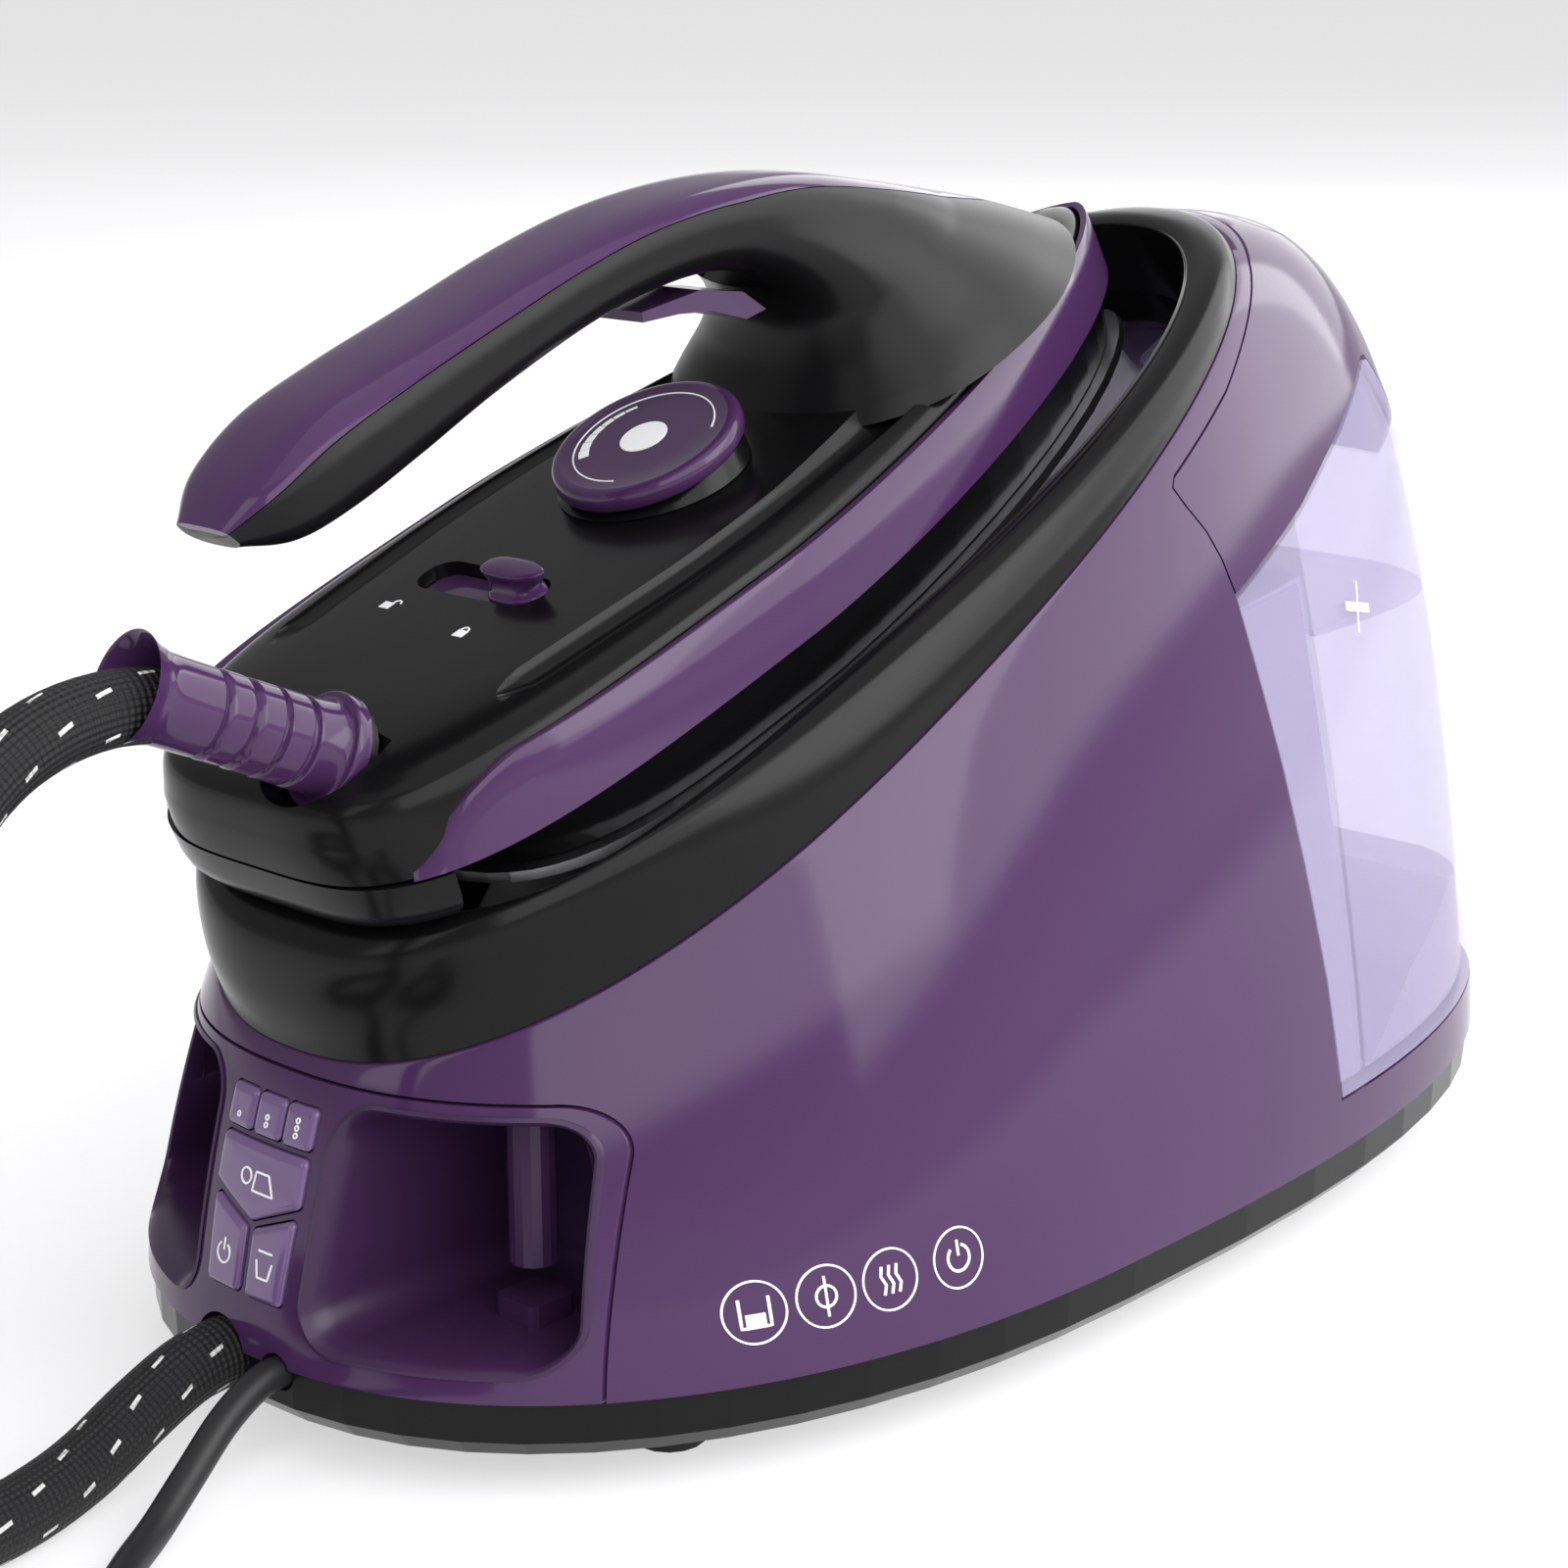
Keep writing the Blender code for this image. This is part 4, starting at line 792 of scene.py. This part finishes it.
def make_tank():
    """Clear tank with its partition and floor, purple cover with a filler flap."""
    seam = [(y + SEAM_GAP, z - SEAM_GAP) for y, z in SEAM[9:]]
    seam[-1] = (0.0528 + SEAM_GAP, LEDGE_Z + SEAM_GAP)
    side = [(COVER_EDGE[0][0] + SEAM_GAP, COVER_EDGE[0][1] - SEAM_GAP)] + seam
    side += [(0.26, LEDGE_Z + SEAM_GAP)] + [(y, z - SEAM_GAP) for y, z in COVER_EDGE[:0:-1]]
    floor = LEDGE_Z + SEAM_GAP + TANK_WALL
    rear = [(0.0702, floor), (0.0797, 0.1900), (0.10, 0.28), (0.26, 0.28), (0.26, floor)]
    front = [(0.0, floor), (0.0, 0.150), (0.0753, 0.1560), (0.0680, floor)]
    hollows = [
        carve(
            skin_block(TANK_WALL), [("INTERSECT", slab(space, "X", -0.2, 0.2))],
        ) for space in (rear, front)
    ]
    tongue_hole = carve(
        skin_wall(-0.002, 0.0019),
        [("INTERSECT", slab(grown(np.array(TONGUE), SEAM_GAP), "Y", 0.12, 0.24))],
    )
    steps = [("INTERSECT", slab(side, "X", -0.2, 0.2)), ("DIFFERENCE", tongue_hole)]
    steps += [("DIFFERENCE", hollow) for hollow in hollows]
    tank = carve(skin_block(0.0), steps)
    inner = 0.0026
    pale = [(0.078, 0.1420), (0.190, 0.1360), (0.190, 0.1345), (0.078, 0.1405)]
    low = [
        (0.0735, floor + 0.0003), (0.190, floor + 0.0003), (0.190, 0.0560), (0.150, 0.0620),
        (0.105, 0.0520),
    ]
    for name, outline, finish in (("tank_shelf", pale, TANK_MILKY), ("tank_sump", low, TANK_SMOKY)):
        made = carve(skin_block(inner), [("INTERSECT", slab(outline, "X", -0.2, 0.2))])
        piece(name, made, finish, "tank", sharp=30)
    smoky = carve(
        skin_wall(inner, inner + 0.0008),
        [
            (
                "INTERSECT",
                slab(
                    [(0.0, floor + 0.0003), (0.0, 0.150), (0.0735, 0.1540), (0.0665, floor + 0.0003)], "X",
                    -0.2, 0.2,
                ),
            ),
            (
                "INTERSECT",
                slab(
                    [(y + SEAM_GAP, z) for y, z in SEAM[7:]] + [(0.26, LEDGE_Z), (0.26, 0.160)], "X", -0.2,
                    0.2,
                ),
            ),
        ],
    )
    piece("tank_front_lining", smoky, TANK_SMOKY, "tank", sharp=30)
    piece("water_tank", tank, TANK_CLEAR, "tank", stands_for=["tank_shell"], sharp=30)
    upper = [(y, z - SEAM_GAP) for y, z in SEAM[:4]] + [(y + SEAM_GAP, z) for y, z in SEAM[4:9]]
    cover_side = upper + [(y, z + SEAM_GAP) for y, z in COVER_EDGE[1:]] + [(0.26, 0.2550)]
    tongue = carve(skin_wall(0.0, 0.0014), [("INTERSECT", slab(TONGUE, "Y", 0.12, 0.24))])
    flap = rounded([(-0.022, 0.122), (0.022, 0.122), (0.022, 0.152), (-0.022, 0.152)], 0.005, 8)
    cover = carve(skin_wall(0.0, 0.0025), [
        ("INTERSECT", slab(cover_side, "X", -0.2, 0.2)), ("UNION", tongue),
        ("DIFFERENCE", slab(grown(flap, SEAM_GAP), "Z", 0.212, 0.28)),
    ])
    piece("cover", cover, PURPLE, "tank", stands_for=["tank_cover"], sharp=32)
    lid = carve(skin_wall(0.0, 0.0025), [("INTERSECT", slab(flap, "Z", 0.212, 0.28))])
    piece("flap", lid, PURPLE, "flap", stands_for=["filler_flap"], sharp=32)


# ------------------------------------------------------------------ iron


def iron_ring(inset, h, nose=0.0, heel=IRON_LENGTH, around=224):
    turn = np.linspace(0, TAU, around, endpoint=False)
    x, p = egg(turn, nose + inset, IRON_WIDEST, heel - inset, IRON_HALF_WIDTH - inset, 1.52, 3.8)
    return iron_place(p, x, h)


def make_iron_body():
    """Heel cap, coloured side band and the black body with a channel along each side of its deck."""
    cap = sheet_mesh(
        "heel",
        np.array(
            [
                iron_ring(0.0020, -0.0105), iron_ring(0.0008, -0.0085), iron_ring(0.0003, -0.0060),
                iron_ring(0.0, -0.0004),
            ]
        ),
        wrap_columns=True, cap=True,
    )
    places = iron_place(np.array([-0.05, 0.2768, 0.2768, -0.05]), 0.0, np.array([-0.02, -0.02, 0.01, 0.01]))
    cap = carve(outward(cap), [("DIFFERENCE", slab(places[:, 1:], "X", -0.1, 0.1))])
    piece("heel", cap, BLACK, "iron", stands_for=["heel_cap"], sharp=35)

    turn = np.linspace(-np.pi, np.pi, 513)
    x, p = egg(turn, 0.0, IRON_WIDEST, IRON_LENGTH, IRON_HALF_WIDTH, 1.52, 3.8)
    turn = turn[p < 0.2835]
    sections = []
    for inset, share in (
        (0.0, 0.0), (0.0006, 0.25), (0.0016, 0.6), (0.0028, 0.92), (0.0034, 1.0), (0.0046, 1.0),
        (0.0056, 0.98), (0.0022, 0.0),
    ):
        x, p = egg(turn, inset, IRON_WIDEST, IRON_LENGTH - inset, IRON_HALF_WIDTH - inset, 1.52, 3.8)
        fade = np.clip((0.2835 - p) / 0.030, 0, 1)
        high = 0.0012 + (BAND_HEIGHT - 0.0012) * np.sin(fade * np.pi / 2)
        sections.append(iron_place(p, x, 0.0002 + (high - 0.0002) * share))
    solid(
        "coloured_band", np.array(sections).transpose(1, 0, 2), PURPLE, "iron", stands_for=["side_band"],
        sharp=35,
    )

    rows = flowing(
        [
            (0.0040, 0.0070, 0.0, 0.2958), (0.0062, 0.0150, 0.0, 0.2952), (0.0078, 0.0180, 0.002, 0.2900),
            (0.0120, 0.0200, 0.006, 0.2860), (0.0200, 0.0210, 0.012, 0.2800),
            (0.0300, DECK_HEIGHT, 0.020, 0.2750),
        ],
        6,
    )
    rings = [iron_ring(0.0027, 0.0002, 0.0, 0.2946)] + [iron_ring(*row) for row in rows]
    body = outward(sheet_mesh("body", np.array(rings), wrap_columns=True, cap=True))
    steps = []
    for side in (1, -1):
        path = np.array(
            [
                (0.092, 0.0265), (0.105, 0.0300), (0.125, 0.0345), (0.145, 0.0375), (0.165, 0.0395),
                (0.190, 0.040), (0.215, 0.0385), (0.236, 0.0370), (0.250, 0.0360),
            ]
        )
        line = flowing(path, 8)
        route = iron_place(line[:, 0], side * line[:, 1], 0.0232)
        share = np.linspace(0, 9, len(line))
        ends = np.sqrt(np.clip(share, 0.02, 1) * np.clip(9 - share, 0.02, 1))
        radius = ends * (0.0052 + 0.0028 * np.clip(1 - share / 4, 0, 1))
        steps.append(("DIFFERENCE", tube("channel", route, radius, 20)))
    slot = rounded([(0.2065, -0.0225), (0.2185, -0.0225), (0.2185, 0.0145), (0.2065, 0.0145)], 0.0055, 8)
    steps.append(
        (
            "DIFFERENCE",
            sheet_mesh(
                "slot", np.array([iron_place(slot[:, 0], slot[:, 1], h) for h in (0.0165, 0.0300)]),
                wrap_columns=True, cap=True,
            ),
        )
    )
    flange = iron_place(0.2730, 0.0130, 0.0183)
    steps.append(
        (
            "DIFFERENCE",
            spun(
                "relief_hole", flange - 0.004 * RELIEF_DIR, RELIEF_DIR, [(0.0132, 0.0), (0.0132, 0.06)], 48,
            ),
        )
    )
    piece("body", carve(body, steps), BLACK, "iron", stands_for=["upper_body"], sharp=35)


def make_lock():
    """The lock's knob: superellipse rings that narrow to a waist, with a wing that flares to one side."""
    turn = np.linspace(0, TAU, 64, endpoint=False)
    c, s = np.cos(turn), np.sin(turn)
    rings = []
    for half_p, half_x, h in (
        (0.0052, 0.0060, 0.0184), (0.0052, 0.0062, 0.0212), (0.0040, 0.0058, 0.0224),
        (0.0034, 0.0064, 0.0244), (0.0038, 0.0076, 0.0262), (0.0034, 0.0072, 0.0270),
        (0.0018, 0.0040, 0.0275),
    ):
        wing = 0.0022 * np.clip(c, 0, 1) ** 6 * (half_x > 0.0061)
        p = LOCK_P + half_p * np.sign(s) * np.abs(s) ** 0.7
        x = LOCK_X + half_x * np.sign(c) * np.abs(c) ** 0.7 + wing
        rings.append(iron_place(p, x, h))
    rings = flowing(np.array(rings), 4)
    solid("lock_knob", rings, PURPLE, "lock_body", stands_for=["lock_slider"], sharp=50)


def spun(name, start, axis, profile, sides=72, ring=False):
    """A closed mesh turned about an axis from radii and heights; ring closes the profile on itself."""
    axis = np.asarray(axis, float) / np.linalg.norm(axis)
    side = np.cross(axis, (1.0, 0.0, 0.0))
    side = side / np.linalg.norm(side)
    other = np.cross(axis, side)
    turn = np.linspace(0, TAU, sides, endpoint=False)[None, :, None]
    profile = np.asarray(profile, float)
    rings = np.asarray(start) + axis * profile[:, 1, None, None] + profile[:, 0, None, None] * (
        side * np.cos(turn) + other * np.sin(turn)
    )
    return outward(sheet_mesh(name, rings, wrap_rows=ring, wrap_columns=True, cap=not ring))


def grip_sections(turn, inset, where):
    """Handle sections: where is how far along the listed rows, turn 0 the ridge and half a turn the
    underside. Each is a superellipse between ridge and underside; the front ones widen towards the foot."""
    rows = np.column_stack([RIDGE, UNDERSIDE, GRIP_HALF_WIDTHS])
    fine = flowing(rows, 16)
    at = np.linspace(0, len(RIDGE) - 1, len(fine))
    row = np.stack([np.interp(where, at, fine[:, k]) for k in range(5)], axis=-1)
    ridge, under, wide = row[:, :2], row[:, 2:4], row[:, 4]
    middle, reach = (ridge + under) / 2, (ridge - under) / 2
    size = np.linalg.norm(reach, axis=1)
    c, s = np.cos(turn), np.sin(turn)
    firm = np.clip(where - 3, 0, 1)
    power = 2.2 + (np.where(c > 0, 3.2, 2.4) - 2.2) * firm[:, None]
    up = np.sign(c) * np.abs(c) ** (2 / power) * (1 - inset / size)[:, None]
    narrow = np.clip(6 - where, 0, 1) * 0.22 * np.minimum(size / 0.05, 1)
    x = (wide - inset)[:, None] * (1 - narrow[:, None] * c) * np.sign(s) * np.abs(s) ** (2 / power)
    place = middle[:, None] + reach[:, None] * up[..., None]
    return iron_place(place[..., 0], x, place[..., 1])


def make_handle():
    """Black grip, with a pocket under it where the trigger sits, and coloured cover along its top."""
    last = len(RIDGE) - 1
    where = np.linspace(0, last, 150)
    edge = np.radians(np.clip(18 + 11 * (where - 2), 8, 62))[:, None]
    low = np.where(where > 2.05, 0.0024, 0.0)
    share = np.linspace(-1, 1, 29)[None]
    top_low = np.stack(
        [grip_sections(edge[k : k + 1] * share, low[k], where[k : k + 1])[0] for k in range(len(where))]
    )
    rest = grip_sections(edge + (TAU - 2 * edge) * np.linspace(0, 1, 60)[None], 0.0, where)
    grip = outward(sheet_mesh("grip", np.concatenate([top_low, rest], axis=1), wrap_columns=True, cap=True))
    pocket = [
        (0.1235, 0.0440), (0.1215, 0.0560), (0.1400, 0.0672), (0.1620, 0.0685), (0.1620, 0.0600),
        (0.1350, 0.0480),
    ]
    pocket = np.array(pocket)
    places = iron_place(pocket[:, 0], 0.0, pocket[:, 1])[:, 1:]
    grip = carve(grip, [("DIFFERENCE", slab(places, "X", -0.0105, 0.0105))])
    piece("grip", grip, BLACK_SATIN, "iron", stands_for=["handle_grip"], sharp=42)
    where = np.linspace(2.05, last, 130)
    edge = np.radians(np.clip(18 + 11 * (where - 2), 8, 62))[:, None] - 0.03
    share = np.linspace(-1, 1, 33)[None]
    outer = grip_sections(edge * share, 0.0, where)
    inner = grip_sections(edge * share[:, ::-1], 0.0022, where)
    solid(
        "grip_cover", np.concatenate([outer, inner], axis=1), PURPLE, "iron", stands_for=["handle_cover"],
        sharp=45,
    )


def dial_frame():
    """Top centre, axis and two side directions of the dial."""
    axis = iron_place(0, 0, 1) - iron_place(0, 0, 0)
    c, s = math.cos(DIAL_TILT), math.sin(DIAL_TILT)
    axis = np.array([0.0, axis[1] * c - axis[2] * s, axis[1] * s + axis[2] * c])
    side = np.array([1.0, 0.0, 0.0])
    return iron_place(DIAL_P, 0.0, DIAL_H), axis, side, np.cross(axis, side)


def make_dial():
    top, axis, side, other = dial_frame()
    base = top - axis * (DIAL_THICK + 0.0004)
    turn = np.linspace(0, TAU, 96, endpoint=False)
    foot = iron_place(DIAL_P + 0.0222 * np.sin(turn), 0.0222 * np.cos(turn), 0.0217)
    head = base + 0.0205 * (np.cos(turn)[:, None] * side - np.sin(turn)[:, None] * other)
    solid("dial_foot", [foot, foot * 0.5 + head * 0.5, head], BLACK, "iron", stands_for=["dial_plinth"])
    profile = [
        (0.0205, 0.0), (0.0219, 0.0004), (0.0225, 0.0012), (0.0225, 0.0030), (0.0222, 0.0042),
        (0.0214, 0.0050), (0.0202, 0.0053), (0.0195, 0.0052), (0.0190, 0.0050), (0.0120, 0.0050),
        (0.0040, 0.0050),
    ]
    mesh = spun("dial_knob", top - axis * DIAL_THICK, axis, profile, 120)
    piece("dial_knob", mesh, PURPLE, "dial_body", stands_for=["dial"], sharp=40)


def make_sleeve():
    """Flared sleeve of the hose with four slots round it."""
    flange = iron_place(0.2730, 0.0130, 0.0183)
    outer = flowing(
        [
            (0.0122, 0.0), (0.0122, 0.0030), (0.0100, 0.0050), (0.0094, 0.0180), (0.0092, 0.0400),
            (0.0100, 0.0460), (0.0117, RELIEF_LENGTH),
        ],
        40,
    )
    height = outer[:, 1]
    for at in (0.0110, 0.0180, 0.0250, 0.0320):
        outer[:, 0] -= 0.0011 * np.exp(-(((height - at) / 0.0006) ** 4))
    inner = [(0.0110, RELIEF_LENGTH - 0.0004), (0.0089, 0.0440), (0.0082, 0.0400), (0.0082, 0.0)]
    mesh = spun("sleeve", flange, RELIEF_DIR, np.vstack([outer, inner]), 64, ring=True)
    return piece("sleeve", mesh, PURPLE, "iron", stands_for=["hose_sleeve"], sharp=45)


# ------------------------------------------------------------------ printed signs


def prints(name, strokes, place, body, thick=0.00018):
    """Raised white print: each stroke is a path of two coordinates with a width and whether it closes; its
    section is a thin rectangle carried along the path and laid on a surface by place(a, b, lift)."""
    points, faces = [], []
    for path, width, closed in strokes:
        path = np.asarray(path, float)
        if closed:
            along = np.roll(path, -1, axis=0) - np.roll(path, 1, axis=0)
        else:
            along = np.gradient(path, axis=0)
        along /= np.linalg.norm(along, axis=1)[:, None]
        normal = np.stack([-along[:, 1], along[:, 0]], axis=1)
        left, right = path + normal * width / 2, path - normal * width / 2
        rows = [place(left[:, 0], left[:, 1], thick), place(right[:, 0], right[:, 1], thick),
                place(right[:, 0], right[:, 1], -0.0001), place(left[:, 0], left[:, 1], -0.0001)]
        block = np.stack(rows, axis=1)
        count, start = len(path), sum(len(p) for p in points)
        points.append(block.reshape(-1, 3))
        reach = count if closed else count - 1
        for i in range(reach):
            here, there = start + 4 * i, start + 4 * ((i + 1) % count)
            faces += [(here + k, here + (k + 1) % 4, there + (k + 1) % 4, there + k) for k in range(4)]
        if not closed:
            faces += [
                (start + 3, start + 2, start + 1, start),
                tuple(start + 4 * (count - 1) + k for k in range(4)),
            ]
    mesh = bpy.data.meshes.new(name)
    mesh.from_pydata(np.vstack(points).tolist(), [], faces)
    piece(name, outward(mesh), WHITE, body)


def circle(a, b, radius, count=48, start=0.0, end=TAU):
    full = abs(end - start - TAU) < 1e-6
    turn = np.linspace(start, end, count, endpoint=not full)
    return np.stack([a + radius * np.cos(turn), b + radius * np.sin(turn)], axis=1)


def line(*corners, steps=6):
    corners = np.array(corners, float)
    t = np.linspace(0, len(corners) - 1, steps * (len(corners) - 1) + 1)
    return np.stack([np.interp(t, range(len(corners)), corners[:, k]) for k in range(2)], axis=1)


def make_prints():
    def on_side(a, b, lift):
        x = side_x(a, b)
        return np.stack([x + lift, a, b], axis=1)

    def on_keys(a, b, lift):
        return np.stack([a, front_y(a, b) - 0.0012 - lift, b], axis=1)

    def on_deck(a, b, lift):
        return iron_place(a, b, DECK_HEIGHT + lift)

    top, axis, side, other = dial_frame()

    def on_dial(a, b, lift):
        return top + a[:, None] * side + b[:, None] * other + axis * (lift - 0.0005)

    signs = []
    for k, (y, z) in enumerate(
        ((-0.1363, 0.0370), (-0.1213, 0.0375), (-0.1065, 0.0378), (-0.0891, 0.0382))
    ):
        signs.append((circle(y, z, 0.0064, 64), 0.00040, True))
        if k == 0:
            signs.append(
                (
                    line(
                        (y - 0.003, z + 0.003), (y - 0.003, z - 0.003), (y + 0.003, z - 0.003),
                        (y + 0.003, z + 0.003),
                    ),
                    0.0006, False,
                )
            )
            signs.append((line((y - 0.002, z - 0.0015), (y + 0.002, z - 0.0015)), 0.0024, False))
        elif k == 1:
            signs.append((circle(y, z, 0.0022), 0.0005, True))
            signs.append((line((y, z - 0.0042), (y, z + 0.0042)), 0.0005, False))
        elif k == 2:
            for dx in (-0.0018, 0.0, 0.0018):
                signs.append(
                    (
                        line(
                            (y + dx, z - 0.003), (y + dx + 0.0006, z - 0.001), (y + dx - 0.0004, z + 0.001),
                            (y + dx, z + 0.003),
                        ),
                        0.0006, False,
                    )
                )
        else:
            signs.append((circle(y, z, 0.0028, 36, 2.3, 2.3 + 4.9 + 0.3), 0.0006, False))
            signs.append((line((y, z + 0.0005), (y, z + 0.0038)), 0.0006, False))
    prints("side_signs", signs, on_side, "station")
    for name, body, strokes in (
        (
            "steam_sign", "steam_key_body",
            [
                (circle(-0.003, 0.0585, 0.0016, 24), 0.0004, True),
                (
                    line((-0.0005, 0.056), (0.006, 0.056), (0.004, 0.060), (0.0, 0.060), (-0.0005, 0.056)),
                    0.0004, False,
                ),
            ],
        ),
        (
            "power_sign", "power_key_body",
            [
                (circle(-0.0066, 0.0415, 0.0021, 32, 2.1, 7.3), 0.0004, False),
                (line((-0.0066, 0.0420), (-0.0066, 0.0446)), 0.0004, False),
            ],
        ),
        (
            "descale_sign", "descale_key_body",
            [
                (
                    line((0.0042, 0.0430), (0.0050, 0.0395), (0.0082, 0.0395), (0.0090, 0.0430)), 0.0004,
                    False,
                ),
                (line((0.0045, 0.0450), (0.0087, 0.0450)), 0.0004, False),
            ],
        ),
    ):
        prints(name, strokes, on_keys, body)
    lamps = []
    for x, rows in ((-0.0093, 1), (0.0, 2), (0.0093, 3)):
        for row in range(rows):
            lamps.append((circle(x, 0.0695 + row * 0.0015, 0.0005, 12), 0.0003, True))
    prints("lamp_signs", lamps, on_keys, "station")
    locks = []
    for p, x, swing in ((0.227, -0.020, 0.9), (0.231, 0.008, 0.0)):
        locks.append((line((p, x - 0.0014), (p, x + 0.0014)), 0.0024, False))
        bow = circle(p - 0.0014, x + swing * 0.0022, 0.0010, 20, np.pi / 2, 3 * np.pi / 2)
        locks.append((bow, 0.0004, False))
    prints("lock_signs", locks, on_deck, "iron")
    scale = [
        (circle(0, 0, 0.0167, 120, 0.4, 5.0), 0.00032, False), (circle(0, 0, 0.0028, 48), 0.0056, True),
    ]
    for k in range(7):
        scale.append(
            (circle(0, 0, 0.0142, 8, 2.4 + k * 0.22, 2.4 + k * 0.22 + 0.20), 0.0006 + 0.0003 * k, False)
        )
    prints("dial_signs", scale, on_dial, "dial_body")
    mark = [
        (line((0.099, 0.138), (0.103, 0.150)), 0.0006, False),
        (line((0.094, 0.1455), (0.108, 0.1425)), 0.0022, False),
    ]

    def on_tank(a, b, lift):
        return np.stack([side_x(a, b) + lift, a, b], axis=1)

    prints("fill_mark", mark, on_tank, "tank")


# ------------------------------------------------------------------ CAD nodes that stay

FINISHES = {
    "base_tray": BLACK, "foot_1": RUBBER, "foot_2": RUBBER, "foot_3": RUBBER, "foot_4": RUBBER,
    "cord_peg_left": PURPLE_DARK, "cord_peg_right": PURPLE_DARK, "cord_block_left": PURPLE_DARK,
    "cord_block_right": PURPLE_DARK, "hose_gland": RUBBER, "mains_gland": RUBBER, "rest_pad_left": RUBBER,
    "rest_pad_right": RUBBER, "lock_catch": PURPLE, "tank_bulkhead": PURPLE_DARK, "tank_lid": TANK_MILKY,
    "tank_valve": RUBBER, "boiler": ALUMINIUM, "heater_flange": BRASS, "water_pump": STEEL,
    "steam_valve": BRASS, "power_board": BOARD, "key_board": BOARD, "soleplate": STEEL,
    "heat_shield": BLACK, "steam_chamber": ALUMINIUM, "lock_track": PURPLE, "steam_trigger": PURPLE,
    "hose_boot": RUBBER, "mains_plug": RUBBER,
}


def finish_nodes():
    """Give every CAD node that stays visible its own surface finish."""
    for name, finish in FINISHES.items():
        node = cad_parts[name]
        node.data.materials.clear()
        node.data.materials.append(finish)


def make_ties():
    """A rubber tie round each coil: a rounded rectangle round the turns, drawn out along the coil."""
    for name, centre, radius, across, height, bearing in (
        ("hose_tie", HOSE_COIL_CENTRE, HOSE_COIL_RADIUS, 0.0322, 0.0300, 40),
        ("mains_tie", MAINS_COIL_CENTRE, MAINS_COIL_RADIUS, 0.0222, 0.0142, 200),
    ):
        wide, corner = across / 2, height * 0.3
        loop = rounded([(-wide, 0.0001), (wide, 0.0001), (wide, height), (-wide, height)], corner, 10)
        rings = []
        for offset, along in (
            (0.0, -0.0034), (0.0007, -0.0030), (0.0007, 0.0030), (0.0, 0.0034), (-0.0003, 0.0),
        ):
            edge = grown(loop, offset)
            a = math.radians(bearing)
            out = radius + edge[:, 0]
            rings.append(np.stack([centre[0] + out * math.cos(a) - along * math.sin(a),
                                   centre[1] + out * math.sin(a) + along * math.cos(a),
                                   np.maximum(edge[:, 1], 0.0)], axis=1))
        solid(name, rings, RUBBER, "station", wrap=True)


make_camera()
make_studio()
hose, hose_route = make_hose()
mains, mains_route = make_mains()
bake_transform(hose)
make_ties()
make_shell()
make_bays()
make_keys()
make_collar()
make_tank()
make_iron_body()
make_handle()
make_dial()
make_lock()
sleeve = make_sleeve()
make_prints()
finish_nodes()
